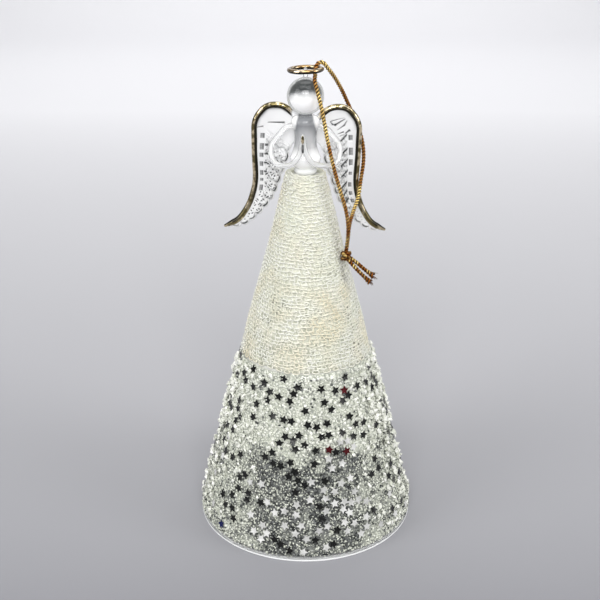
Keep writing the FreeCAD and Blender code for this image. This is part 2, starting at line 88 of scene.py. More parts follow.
# ---- shader maths ----------------------------------------------------------------------
class Value:
    """A number that changes over a surface. Arithmetic on it adds Math nodes to its finish."""

    def __init__(self, nodes: "NodeTree", socket: Socket) -> None:
        """Wraps a socket of a finish's node tree."""
        self.nodes = nodes
        self.socket = socket

    def _math(self, operation: str, first: Number, second: Number, clamp: bool = False) -> "Value":
        """Adds one Math node and gives its result, kept between 0 and 1 with clamp."""
        settings = {"operation": operation, "use_clamp": clamp}
        return Value(self.nodes, self.nodes.add("ShaderNodeMath", settings, {0: first, 1: second}).outputs[0])

    def __add__(self, other: Number) -> "Value":
        """This plus another."""
        return self._math("ADD", self, other)

    def __radd__(self, other: Number) -> "Value":
        """Another plus this."""
        return self._math("ADD", other, self)

    def __sub__(self, other: Number) -> "Value":
        """This minus another."""
        return self._math("SUBTRACT", self, other)

    def __rsub__(self, other: Number) -> "Value":
        """Another minus this."""
        return self._math("SUBTRACT", other, self)

    def __mul__(self, other: Number) -> "Value":
        """This times another."""
        return self._math("MULTIPLY", self, other)

    def __rmul__(self, other: Number) -> "Value":
        """Another times this."""
        return self._math("MULTIPLY", other, self)

    def __truediv__(self, other: Number) -> "Value":
        """This over another."""
        return self._math("DIVIDE", self, other)

    def __gt__(self, other: Number) -> "Value":
        """One where this is greater, and zero elsewhere."""
        return self._math("GREATER_THAN", self, other)

    def __lt__(self, other: Number) -> "Value":
        """One where this is less, and zero elsewhere."""
        return self._math("LESS_THAN", self, other)

    def __pow__(self, other: Number) -> "Value":
        """This to a power."""
        return self._math("POWER", self, other)

    def clamped(self) -> "Value":
        """This, kept between 0 and 1."""
        return self._math("ADD", self, 0.0, clamp=True)

    def past(self, level: float, sharpness: float) -> "Value":
        """0 up to a level, and then rising to 1 at some sharpness."""
        return ((self - level) * sharpness).clamped()

    def along(self, start: float, length: float) -> "Value":
        """0 up to a start, and then rising to 1 over a length."""
        return ((self - start) / length).clamped()


class NodeTree:
    """The node tree of one finish."""

    def __init__(self, name: str) -> None:
        """Starts an empty material.

        Args:
            name: its name.
        """
        self.material = bpy.data.materials.new(name)
        self.material.use_nodes = True
        self.tree = self.material.node_tree
        self.tree.nodes.clear()

    def add(
        self,
        kind: str,
        settings: Optional[Mapping[str, Any]] = None,
        sockets: Optional[Mapping[Union[int, str], Any]] = None,
    ) -> bpy.types.Node:
        """Adds a node.

        Args:
            kind: Blender's type name of the node.
            settings: its own settings, set first. "stops" are a colour ramp's.
            sockets: value or link of each input, by its name or number.

        Returns:
            The node.
        """
        node = self.tree.nodes.new(kind)
        for name, setting in (settings or {}).items():
            if name == "stops":
                self._set_stops(node.color_ramp, setting)
            else:
                setattr(node, name, setting)
        for key, value in (sockets or {}).items():
            source = value.socket if isinstance(value, Value) else value
            if isinstance(source, Socket):
                self.tree.links.new(source, node.inputs[key])
            else:
                node.inputs[key].default_value = source
        return node

    @staticmethod
    def _set_stops(ramp: bpy.types.ColorRamp, stops: Stops) -> None:
        """Sets the stops of a colour ramp.

        Args:
            ramp: the ramp, which has two stops at first.
            stops: place and colour of each, from the lowest place.
        """
        while len(ramp.elements) < len(stops):
            ramp.elements.new(1.0)
        for element, (place, colour) in zip(ramp.elements, stops):
            element.position = place
            element.color = colour

    def vector(self, operation: str, *operands: Any) -> bpy.types.NodeOutputs:
        """Adds one Vector Math node for vectors or links to them, and gives its outputs."""
        settings = {"operation": operation}
        return self.add("ShaderNodeVectorMath", settings, dict(enumerate(operands))).outputs

    def place(self, stretch: Point = EVEN) -> Socket:
        """The point's place on the object, times a factor along each axis."""
        here = self.add("ShaderNodeTexCoord").outputs["Object"]
        return here if stretch == EVEN else self.vector("MULTIPLY", here, stretch)[0]

    def axis(self, letter: str) -> Value:
        """The point's place along one axis of the object, in metres."""
        parts = self.add("ShaderNodeSeparateXYZ", None, {0: self.place()})
        return Value(self, parts.outputs[letter])

    def height(self) -> Value:
        """The point's height on the object, in metres."""
        return self.axis("Z")

    def noise(self, grain: float, detail: float = 2.0, stretch: Point = EVEN) -> Value:
        """Cloudy noise between 0 and 1, in patches of the grain's size in metres."""
        sockets = {"Vector": self.place(stretch), "Scale": 1.0 / grain, "Detail": detail}
        return Value(self, self.add("ShaderNodeTexNoise", None, sockets).outputs["Fac"])

    def cells(self, grain: float) -> Value:
        """A random tone between 0 and 1 for each cell of a surface, of the grain's size in metres."""
        cells = self.add("ShaderNodeTexVoronoi", None, {"Vector": self.place(), "Scale": 1.0 / grain})
        return Value(self, self.add("ShaderNodeSeparateColor", None, {0: cells.outputs["Color"]}).outputs[0])

    def edge(self) -> Value:
        """How far the surface turns away from sight: 1 along its outline."""
        weight = self.add("ShaderNodeLayerWeight", None, {"Blend": 0.5})
        return Value(self, weight.outputs["Facing"])

    def facing(self, target: Point) -> Value:
        """How squarely the surface faces a point on the object.

        Args:
            target: the point.

        Returns:
            1 where the surface faces it, and below 0 where it is turned away.
        """
        here = self.add("ShaderNodeTexCoord").outputs
        way = self.vector("SUBTRACT", target, here["Object"])[0]
        aim = self.vector("NORMALIZE", way)[0]
        return Value(self, self.vector("DOT_PRODUCT", here["Normal"], aim)["Value"])

    def attribute(self, name: str) -> Value:
        """A number that the mesh carries at each point."""
        node = self.add("ShaderNodeAttribute", {"attribute_name": name})
        return Value(self, node.outputs["Fac"])

    def mix(self, share: Number, first: Any, second: Any) -> Socket:
        """Mixes two colours, or links to them, by the share of the second."""
        settings = {"data_type": "RGBA", "clamp_factor": True}
        return self.add("ShaderNodeMix", settings, {0: share, 6: first, 7: second}).outputs[2]

    def ramp(self, value: Value, stops: Stops) -> Socket:
        """The colour of a value on a ramp with stops at some places."""
        return self.add("ShaderNodeValToRGB", {"stops": stops}, {0: value}).outputs[0]

    def bump(self, height: Value, depth: float) -> Socket:
        """The normal over a relief between 0 and 1 that is some metres deep."""
        return self.add("ShaderNodeBump", None, {"Distance": depth, "Height": height}).outputs[0]

    def rough(self, grain: float, depth: float, detail: float = 2.0) -> Socket:
        """The normal over a cloudy relief of some grain and depth in metres."""
        return self.bump(self.noise(grain, detail), depth)

    def principled(self, sockets: Mapping[str, Any]) -> Socket:
        """Adds a Principled shader and gives its output."""
        return self.add("ShaderNodeBsdfPrincipled", None, sockets).outputs[0]

    def blend(self, share: Value, first: Socket, second: Socket) -> Socket:
        """Mixes two shaders, by the share of the second."""
        return self.add("ShaderNodeMixShader", None, {0: share, 1: first, 2: second}).outputs[0]

    def output(self, shader: Socket) -> Material:
        """Closes the finish with a shader and gives the material."""
        self.add("ShaderNodeOutputMaterial", None, {"Surface": shader})
        return self.material

    def surface(self, sockets: Mapping[str, Any]) -> Material:
        """Closes the finish with one Principled shader and gives the material."""
        return self.output(self.principled(sockets))


# ---- finishes --------------------------------------------------------------------------
def darker(colour: Colour, share: float) -> Colour:
    """The colour with only a share of its light."""
    return (share * colour[0], share * colour[1], share * colour[2], 1.0)


@dataclass(frozen=True)
class ClearGlass:
    """Clear lamp-worked glass, with painted shade along its outlines, painted light of its own, and faint
    waves left by the flame.
    """

    tint: Colour = (0.985, 0.99, 0.985, 1.0)
    # Colour of the painted shade along the outlines.
    outline: Colour = (0.3, 0.32, 0.32, 1.0)
    clearness: float = 0.94
    wave_size: float = 5.0 * MM
    wave_depth: float = 0.08 * MM
    # How fast the painted shade along the outline fades inwards, and the share of its colour given back as
    # painted light.
    fade: float = 3.0
    painted_glow: float = 0.06

    def shader(self, nodes: NodeTree, body: Any = None) -> Socket:
        """The glass as a shader of some finish.

        Args:
            nodes: the finish's node tree.
            body: colour of the glass away from its outlines, or None for the plain tint.

        Returns:
            The shader's output.
        """
        ripple = nodes.noise(self.wave_size, detail=1.0)
        # Painted shade: the colour turns to the outline colour where the surface turns away from sight.
        colour = nodes.mix(nodes.edge() ** self.fade, body or self.tint, self.outline)
        return nodes.principled({
            "Base Color": colour,
            # Painted light: the glass gives back a share of its own colour as emission.
            "Emission Color": colour,
            "Emission Strength": self.painted_glow,
            "Roughness": 0.0,
            "IOR": 1.48,
            "Transmission Weight": self.clearness,
            "Normal": nodes.bump(ripple, self.wave_depth),
        })

    def material(self) -> Material:
        """The finish as a material."""
        nodes = NodeTree("clear_glass")
        return nodes.output(self.shader(nodes))


@dataclass(frozen=True)
class ShadePaintedGlass:
    """Thick glass with painted shade above some height and painted white light below, inside a paler outline.
    """

    dark_from: float
    dark_over: float
    veil_over: float
    # Painted shade: its darkest and its palest colour.
    painted_shade: Colour = (0.07, 0.08, 0.08, 1.0)
    painted_pale_shade: Colour = (0.5, 0.52, 0.54, 1.0)
    outline: Colour = (0.55, 0.57, 0.56, 1.0)
    white: Colour = (0.99, 0.99, 0.985, 1.0)
    whiteness: float = 0.92
    painted_white_glow: float = 0.14
    # How far the painted shade's lower end comes down at the sides, and wavers.
    sag: float = 3.2 * MM
    drift: float = 1.4 * MM
    drift_size: float = 3.5 * MM
    # How much darker the painted shade is beside the middle, how much light goes through, and where
    # the clear border starts on the way from the middle to the outline.
    side_shade: float = 0.0
    clearness: float = 0.94
    border: float = 0.6
    # Painted highlights on the shoulders: from this far out at this height, and further out for each
    # metre below it.
    shoulder_out: float = 0.0
    shoulder_at: float = 0.0
    shoulder_slope: float = 0.0

    def material(self) -> Material:
        """Clear glass with painted shade above painted white light inside it.

        Returns:
            The material.
        """
        nodes = NodeTree("shade_painted_glass")
        edge = nodes.edge()
        drift = self.drift * (nodes.noise(self.drift_size, detail=1.0) - 0.5) + self.sag * edge
        height = nodes.height() + drift
        level = height.along(self.dark_from, self.dark_over)
        veil = height.along(self.dark_from, self.veil_over)
        # Painted highlights: the shoulders get no painted shade outside this limit.
        if self.shoulder_out:
            out = nodes.axis("X")
            limit = (self.shoulder_at - nodes.height()) * self.shoulder_slope + self.shoulder_out + drift
            veil = veil * (1.0 - (out * out / (limit * limit)).past(1.0, 1.4))
        middle = (self.border - edge).past(0.0, 7.0)
        clear = ClearGlass(outline=self.outline, clearness=self.clearness, painted_glow=0.02)
        depth = (level * level + self.side_shade * edge).clamped()
        painted_shade = nodes.mix(depth, self.painted_pale_shade, self.painted_shade)
        glass = clear.shader(nodes, nodes.mix(veil * middle, clear.tint, painted_shade))
        # Painted light: a bright diffuse layer with its own emission, below the painted shade.
        white = nodes.principled({
            "Base Color": self.white,
            "Roughness": 0.1,
            "Emission Color": self.white,
            "Emission Strength": self.painted_white_glow,
        })
        return nodes.output(nodes.blend(self.whiteness * middle * (1.0 - veil), glass, white))


@dataclass(frozen=True)
class PressedGlass:
    """Pressed glass of a wing, with painted shade in its grooves and cuts."""

    groove: Colour = (0.02, 0.024, 0.024, 1.0)

    def material(self) -> Material:
        """Glass with painted shade where the mesh says that it is cut.

        Returns:
            The material.
        """
        nodes = NodeTree("pressed_glass")
        clear = ClearGlass((1.0, 1.0, 1.0, 1.0), clearness=0.2, wave_size=2.0 * MM, wave_depth=0.02 * MM)
        # Painted shade: the mesh's groove number darkens the glass.
        body = nodes.mix(nodes.attribute("groove"), clear.tint, self.groove)
        return nodes.output(clear.shader(nodes, body))


@dataclass(frozen=True)
class SkirtGlass:
    """Blown glass of the skirt: a painted highlight along its lower edge, clear above it, and white with
    glue.
    """

    glue: Colour = (0.8, 0.8, 0.74, 1.0)
    # Painted highlight along the lower edge: its colour, and the height up to which it goes.
    painted_rim_light: Colour = (0.95, 0.96, 0.95, 1.0)
    painted_rim_light_to: float = 0.65 * MM
    glue_from: float = 2.4 * MM
    mottle: float = 2.0 * MM

    def material(self) -> Material:
        """Clear glass between the painted highlight along the rim and the glue.

        Returns:
            The material.
        """
        nodes = NodeTree("skirt_glass")
        mottle = nodes.noise(self.mottle, detail=3.0)
        grey = darker(self.glue, 0.8)
        height = nodes.height()
        coated = nodes.principled({
            "Base Color": nodes.mix(height < self.painted_rim_light_to, nodes.mix(mottle, grey, self.glue), self.painted_rim_light),
            "Roughness": 0.35,
            "Normal": nodes.bump(mottle, 0.1 * MM),
        })
        covered = (height > self.glue_from) + (height < self.painted_rim_light_to)
        return nodes.output(nodes.blend(covered, ClearGlass().shader(nodes), coated))


@dataclass(frozen=True)
class GoldLustre:
    """Bright gold fired on a glass rod: browner in worn patches, with painted shade along its outlines."""

    bright: Colour = (1.0, 0.84, 0.56, 1.0)
    worn: Colour = (0.2, 0.16, 0.06, 1.0)
    shade: Colour = (0.02, 0.017, 0.008, 1.0)
    patch: float = 2.0 * MM
    pit: float = 1.6 * MM
    ragged: float = 1.2 * MM
    # Glass stays bare this close to the middle, and the side towards inner gets painted shade.
    bare_within: float = 0.0
    inner: Optional[Point] = None

    def shader(self, nodes: NodeTree) -> Socket:
        """The gold as a shader of some finish.

        Args:
            nodes: the finish's node tree.

        Returns:
            The shader's output.
        """
        patches = nodes.noise(self.patch, detail=3.0)
        wear = patches.past(0.46, 8.0)
        gold = nodes.mix(wear, self.worn, self.bright)
        # Painted shade along the outlines.
        gold = nodes.mix(0.85 * nodes.edge() ** 2.0, gold, self.shade)
        # Painted shade on the side that faces the inner point.
        if self.inner:
            inside = (nodes.facing(self.inner) + 0.3 * patches).past(0.05, 4.5)
            gold = nodes.mix(inside, gold, self.shade)
        return nodes.principled({
            "Base Color": gold,
            "Metallic": 0.9,
            "Roughness": 0.12 + 0.15 * patches,
            "Coat Weight": 0.4,
            "Coat Roughness": 0.03,
            "Normal": nodes.rough(self.pit, 0.04 * MM),
        })

    def material(self) -> Material:
        """Gold, with the glass left bare near the middle.

        Returns:
            The material.
        """
        nodes = NodeTree("gold_lustre")
        gold = self.shader(nodes)
        if not self.bare_within:
            return nodes.output(gold)
        out = nodes.axis("X")
        bare = self.ragged * nodes.noise(1.5 * MM) + self.bare_within
        gilded = (out * out / (bare * bare)).past(0.8, 2.5)
        return nodes.output(nodes.blend(gilded, ClearGlass().shader(nodes), gold))


@dataclass(frozen=True)
class SpunGlass:
    """Milky thread of spun glass, yellower where the glue shows."""

    milk: Colour = (0.85, 0.85, 0.77, 1.0)
    cream: Colour = (0.8, 0.72, 0.5, 1.0)
    green: Colour = (0.74, 0.78, 0.64, 1.0)
    stain_size: float = 11.0 * MM
    tinge_size: float = 7.0 * MM
    strand_size: float = 0.6 * MM

    def material(self) -> Material:
        """Milky glass with stains of cream and green.

        Returns:
            The material.
        """
        nodes = NodeTree("spun_lace")
        stain = nodes.noise(self.stain_size, detail=3.0).past(0.46, 4.0)
        tinge = nodes.noise(self.tinge_size, stretch=(1.0, 1.0, 0.6)).past(0.45, 3.0)
        fine = nodes.noise(self.strand_size)
        milk = nodes.mix(0.6 * tinge, self.milk, self.green)
        return nodes.surface({
            "Base Color": nodes.mix(0.75 * stain, milk, self.cream),
            "Roughness": 0.12 + 0.3 * fine,
            "Coat Weight": 0.6 * fine,
            "Normal": nodes.bump(fine, 0.05 * MM),
        })


@dataclass(frozen=True)
class LaceGround:
    """Glass wool behind the loops, with small gaps of painted shade where the skirt shows through."""

    pale: Colour = (0.78, 0.78, 0.66, 1.0)
    deep: Colour = (0.44, 0.45, 0.35, 1.0)
    # Painted shade in the gaps.
    painted_gap_shade: Colour = (0.16, 0.16, 0.13, 1.0)
    closes_from: float = 70.0 * MM
    closes_over: float = 40.0 * MM
    knot: float = 0.8 * MM
    open_patch: float = 8.0 * MM
    wool: float = 0.4 * MM

    def material(self) -> Material:
        """Pale wool with gaps of painted shade that close towards the top.

        Returns:
            The material.
        """
        nodes = NodeTree("lace_ground")
        knots = nodes.cells(self.knot)
        high = nodes.height().along(self.closes_from, self.closes_over)
        holes = (knots < 0.25) * nodes.noise(self.open_patch).past(0.53, 6.0) * (1.0 - high)
        wool = nodes.mix(knots, nodes.mix(0.6 * high, self.deep, self.pale), self.pale)
        return nodes.surface({
            "Base Color": nodes.mix(holes, wool, self.painted_gap_shade),
            "Roughness": 0.5 + 0.2 * knots,
            "Normal": nodes.rough(self.wool, 0.15 * MM),
        })


@dataclass(frozen=True)
class GlueFilm:
    """Clear glue under the grains: painted shade where it is clean, and pale with glass dust elsewhere."""

    dust: Colour = (0.66, 0.68, 0.58, 1.0)
    dusty_dark: Colour = (0.4, 0.42, 0.37, 1.0)
    # Painted shade where the glue is clean, with lighter specks.
    clean: Colour = (0.015, 0.017, 0.017, 1.0)
    clean_light: Colour = (0.24, 0.25, 0.24, 1.0)
    speck: float = 0.6 * MM
    clean_patch: float = 5.0 * MM

    def material(self) -> Material:
        """Dust, and painted shade on clean glue where the mesh says so.

        Returns:
            The material.
        """
        nodes = NodeTree("glue_film")
        speckle = nodes.cells(self.speck)
        clean_share = nodes.attribute("clean") + 2.0 * nodes.noise(self.clean_patch, detail=3.0) - 1.0
        clean = nodes.mix(speckle ** 2.0, self.clean, self.clean_light)
        dusty = nodes.mix(speckle, self.dusty_dark, self.dust)
        return nodes.surface({
            "Base Color": nodes.mix(clean_share.clamped(), dusty, clean),
            "Roughness": 0.3 + 0.3 * speckle,
            "Normal": nodes.rough(0.5 * MM, 0.2 * MM, detail=3.0),
        })


@dataclass(frozen=True)
class CrushedGlass:
    """Grains of crushed glass: most are milky, and a few are painted dark with the shade seen through clear
    glass.
    """

    # The darkest stops are painted shade.
    stops: Stops = (
        (0.0, (0.02, 0.025, 0.025, 1.0)),
        (0.2, (0.2, 0.21, 0.2, 1.0)),
        (0.4, (0.57, 0.59, 0.5, 1.0)),
        (0.7, (0.76, 0.78, 0.68, 1.0)),
        (1.0, (0.97, 0.97, 0.91, 1.0)),
    )

    def material(self) -> Material:
        """The tone of each grain on a ramp.

        Returns:
            The material.
        """
        nodes = NodeTree("crushed_glass")
        tone = nodes.attribute("tone")
        return nodes.surface({
            "Base Color": nodes.ramp(tone, self.stops),
            "Roughness": 0.1 + 0.25 * nodes.noise(1.1 * MM),
            "Coat Weight": tone.past(0.2, 1.0),
            "Normal": nodes.rough(0.3 * MM, 0.05 * MM),
        })


class FoilColour(Enum):
    """The star sequins' colours: ending of the node's name, colour, and how metallic it is."""

    # DARK and SILVER stand for one mirror foil: DARK with its painted dark reflection, SILVER with its
    # painted bright one.
    DARK = ("dark", (0.012, 0.013, 0.012, 1.0), 0.3)
    SILVER = ("silver", (0.86, 0.86, 0.83, 1.0), 0.0)
    RED = ("red", (0.13, 0.012, 0.016, 1.0), 0.6)
    BLUE = ("blue", (0.02, 0.03, 0.16, 1.0), 0.6)


@dataclass(frozen=True)
class StarFoil:
    """Metallized plastic foil, creased where it was punched, with painted shade and glints."""

    colour: FoilColour
    crease: float = 0.7 * MM
    glint: float = 3.5 * MM

    def material(self) -> Material:
        """Creased foil in its own colour, with painted shade in the creases and painted glints in patches.

        Returns:
            The material.
        """
        name, tone, metallic = self.colour.value
        nodes = NodeTree("foil_" + name)
        creases = nodes.noise(self.crease)
        # Painted glints: patches where the foil keeps its full colour, as if turned to the light.
        tilt = nodes.noise(self.glint, detail=0.0).past(0.35, 3.0)
        return nodes.surface({
            "Base Color": nodes.mix(0.5 * (creases + tilt), darker(tone, 0.5), tone),
            "Metallic": metallic,
            "Roughness": 0.18 + 0.2 * creases,
            "Normal": nodes.bump(creases, 0.08 * MM),
        })


@dataclass(frozen=True)
class GoldThread:
    """Metallic gold thread: bright on the crest of each ply, with painted shade in the grooves."""

    bright: Colour = (1.0, 0.74, 0.26, 1.0)
    amber: Colour = (0.33, 0.1, 0.007, 1.0)
    # Painted shade in the grooves between the plies.
    groove: Colour = (0.03, 0.007, 0.001, 1.0)
    # Below this height the thread gets painted shade: browner and duller, with a few glints.
    brown_below: float = 110.0 * MM
    brown_over: float = 5.0 * MM
    # Patches that glint above it, and below it.
    glint: float = 9.0 * MM
    low_glint: float = 1.3 * MM

    def material(self) -> Material:
        """Gold on the crests with painted shade between them, and browner and dull in painted shade low down.

        Returns:
            The material.
        """
        nodes = NodeTree("gold_cord")
        crest = nodes.attribute("crest")
        glint = nodes.noise(self.glint, detail=3.0).past(0.46, 8.0)
        # Painted shade low down.
        low = (self.brown_below - nodes.height()).along(0.0, self.brown_over)
        fine = nodes.noise(self.low_glint, detail=1.0).past(0.5, 6.0)
        share = (0.1 + 0.9 * glint) * (1.0 - low) + low * fine
        metal = nodes.mix(share, self.amber, self.bright)
        return nodes.surface({
            "Base Color": nodes.mix(crest ** 2.2 * (1.0 - 0.3 * low), self.groove, metal),
            "Metallic": 0.75,
            "Roughness": 0.4 - 0.15 * glint,
            "Normal": nodes.rough(0.2 * MM, 0.05 * MM),
        })


@dataclass(frozen=True)
class StudioPaper:
    """Graduated paper: paler towards the backdrop."""

    near: Colour = (0.29, 0.29, 0.31, 1.0)
    far: Colour = (0.88, 0.88, 0.9, 1.0)
    fade_from: float = -0.06
    fade_over: float = 0.8

    def material(self) -> Material:
        """Paper that gets paler with its distance.

        Returns:
            The material.
        """
        nodes = NodeTree("studio_paper")
        depth = nodes.axis("Y").along(self.fade_from, self.fade_over)
        grain = 0.02 * nodes.noise(0.12, detail=1.0)
        colour = nodes.mix((depth ** 0.75 + grain).clamped(), self.near, self.far)
        return nodes.surface({"Base Color": colour, "Roughness": 0.6, "Specular IOR Level": 0.0})


# ---- mesh building ---------------------------------------------------------------------
class Soup:
    """Points and faces of one piece, gathered shape by shape."""

    def __init__(self, *shape: Array) -> None:
        """Starts empty, or with one shape.

        Args:
            shape: what add takes, or nothing.
        """
        self.points: List[Array] = []
        self.faces: List[Array] = []
        self.tones: List[Array] = []
        self.count = 0
        if shape:
            self.add(*shape)

    def add(self, points: Array, faces: Array, tone: Optional[Array] = None) -> None:
        """Adds one shape, or many of the same kind.

        Args:
            points: array of points, three numbers each.
            faces: array of faces, numbered within these points.
            tone: a number for each point, or None.
        """
        self.points.append(points)
        self.faces.append(np.asarray(faces) + self.count)
        self.tones.append(np.zeros(len(points)) if tone is None else tone)
        self.count += len(points)

    def close(self, rings: int, sides: int) -> None:
        """Closes both ends of the tube of so many rings and sides that was just added."""
        fan = np.array([(0, k, k + 1) for k in range(1, sides - 1)])
        self.faces += [fan[:, ::-1] + self.count - rings * sides, fan + self.count - sides]

    def piece(self, name: str, attribute: Optional[str] = None, smooth: bool = True) -> Object:
        """Makes the piece.

        Args:
            name: its name.
            attribute: what the points' numbers are called on the mesh, or None.
            smooth: shade it smooth.

        Returns:
            The new object, in the scene.
        """
        mesh = bpy.data.meshes.new(name)
        faces = [face for block in self.faces for face in block.tolist()]
        mesh.from_pydata(np.concatenate(self.points).tolist(), [], faces)
        if attribute:
            layer = mesh.attributes.new(attribute, "FLOAT", "POINT")
            layer.data.foreach_set("value", np.concatenate(self.tones).astype(np.float32))
        mesh.shade_smooth() if smooth else mesh.shade_flat()
        piece = bpy.data.objects.new(name, mesh)
        bpy.context.scene.collection.objects.link(piece)
        return piece


def grid_faces(rows: int, columns: int, closed: bool) -> Array:
    """Faces between the rings of a tube.

    Args:
        rows: how many rings.
        columns: points in each ring.
        closed: join the last ring to the first.

    Returns:
        Array of quads.
    """
    ring = np.arange(rows if closed else rows - 1)[:, None]
    side = np.arange(columns)[None, :]
    following = (ring + 1) % rows
    beside = (side + 1) % columns
    quads = [ring * columns + side, following * columns + side]
    quads += [following * columns + beside, ring * columns + beside]
    return np.stack([np.broadcast_to(q, (len(ring), columns)) for q in quads], -1).reshape(-1, 4)


def turned_over(quads: Array) -> Array:
    """The quads with their other side out, from the same first corner."""
    return quads[:, [0, 3, 2, 1]]


def circle(count: int) -> Array:
    """Angles of evenly spaced places round a circle."""
    return np.arange(count) / count * TAU


def turned(first: Array, second: Array, angle: Array) -> Array:
    """Directions at some angles from a first direction to a second one square to it."""
    return first * np.cos(angle)[..., None] + second * np.sin(angle)[..., None]


def tube(path: Array, first: Array, second: Array, radius: Any, sides: int) -> Array:
    """Points of a tube round a path, ring by ring, from two directions across the path."""
    offset = turned(first[:, None], second[:, None], circle(sides))
    return (path[:, None] + radius * offset).reshape(-1, 3)


def rising(value: Any, start: float, length: float) -> Any:
    """0 up to a start, and then rising to 1 over a length."""
    return np.clip((value - start) / length, 0, 1)


def ridge(value: Any, width: Any) -> Any:
    """1 where the value is 0, and falling off to both sides over a width."""
    return np.exp(-(value / width) ** 2)


def waves(angle: Array, z: Any, parts: Sequence[Wave]) -> Array:
    """A sum of waves round the skirt at some heights."""
    return sum(size * np.sin(count * angle + turn * z / MM + start) for size, count, turn, start in parts)


def unit(vectors: Array) -> Array:
    """The vectors, each made one long."""
    return vectors / np.linalg.norm(vectors, axis=-1, keepdims=True)


def directions(path: Array, closed: bool) -> Array:
    """Direction of a path at each of its points."""
    steps = np.roll(path, -1, 0) - np.roll(path, 1, 0) if closed else np.gradient(path, axis=0)
    return unit(steps)


def carried_normals(path: Array, closed: bool = False) -> Tuple[Array, Array]:
    """Two directions across a path that turn as little as they can along it.

    Args:
        path: points of the path.
        closed: its last point is next to its first.

    Returns:
        The two directions at each point.
    """
    along = directions(path, closed)
    start = np.cross(along[0], ASKEW)
    normals = [start / np.linalg.norm(start)]
    for way in along[1:]:
        kept = normals[-1] - way * np.dot(normals[-1], way)
        normals.append(kept / np.linalg.norm(kept))
    first = np.array(normals)
    return first, np.cross(along, first)


def arc_lengths(path: Array) -> Array:
    """Way along the path up to each point."""
    steps = np.linalg.norm(np.diff(path, axis=0), axis=1)
    return np.concatenate([[0.0], np.cumsum(steps)])


# ---- the skirt's form ------------------------------------------------------------------
@dataclass(frozen=True)
class SkirtForm:
    """Outer surface of the bare glass skirt."""

    height: float
    rim_radius: float
    top_radius: float = 4.6 * MM
    swell: float = 0.5 * MM
    # How far the inner side of a skin stands out of the glass.
    skin_gap: float = 0.07 * MM

    @classmethod
    def from_frame(cls) -> "SkirtForm":
        """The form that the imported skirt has."""
        low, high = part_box("skirt_shell")
        return cls(height=high[2] - low[2], rim_radius=(high[0] - low[0]) / 2)

    def radius(self, z: Any) -> Any:
        """Radius at a height."""
        share = z / self.height
        return self.rim_radius - self.slope * z + 4 * self.swell * share * (1 - share)

    @property
    def slope(self) -> float:
        """How much the radius falls for each metre of height."""
        return (self.rim_radius - self.top_radius) / self.height

    def point(self, angle: Array, z: Array, lift: Any = 0.0) -> Array:
        """Points over the skirt.

        Args:
            angle: angles round the skirt, in radians from +X.
            z: heights.
            lift: how far out of the glass.

        Returns:
            Array of points.
        """
        out = self.normal(angle)
        reach = self.radius(z)
        flank = np.stack([reach * np.cos(angle), reach * np.sin(angle), z + 0.0 * angle], -1)
        return flank + out * np.asarray(lift)[..., None]

    def normal(self, angle: Array) -> Array:
        """Directions out of the glass at some angles."""
        flat, rise = math.cos(math.atan(self.slope)), math.sin(math.atan(self.slope))
        return np.stack([np.cos(angle) * flat, np.sin(angle) * flat, np.full_like(angle, rise)], -1)

    def skin(self, angles: Array, heights: Array, lift: Array) -> Shape:
        """A closed skin over the glass, in rings from its lower edge up.

        Args:
            angles: angle of each point of each ring.
            heights: their heights.
            lift: how far out of the glass they are.

        Returns:
            Points and faces. The last two rings are the inner side.
        """
        columns = angles.shape[1]
        outer = self.point(angles, heights, lift)
        inner = self.point(angles[[-1, 0]], heights[[-1, 0]], np.full((2, columns), self.skin_gap))
        points = np.concatenate([outer, inner]).reshape(-1, 3)
        return points, grid_faces(len(outer) + 2, columns, True)[:, ::-1]


def dress(
    piece: Object, material: Material, body: str, slot: str, *nodes: str
) -> Object:
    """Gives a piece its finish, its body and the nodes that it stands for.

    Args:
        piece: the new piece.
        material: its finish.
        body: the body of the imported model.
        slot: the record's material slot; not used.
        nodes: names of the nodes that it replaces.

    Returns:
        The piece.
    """
    piece.data.materials.append(material)
    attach(piece, body)
    if nodes:
        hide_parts(*nodes)
    LOG.info("%s: %d faces, rides on %s", piece.name, len(piece.data.polygons), body)
    return piece


def refinish(node: str, material: Material) -> None:
    """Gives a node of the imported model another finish.

    Args:
        node: name of the node.
        material: its finish.
    """
    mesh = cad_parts[node].data
    mesh.materials.clear()
    mesh.materials.append(material)
    LOG.info("%s: keeps its own form in %s", node, material.name)


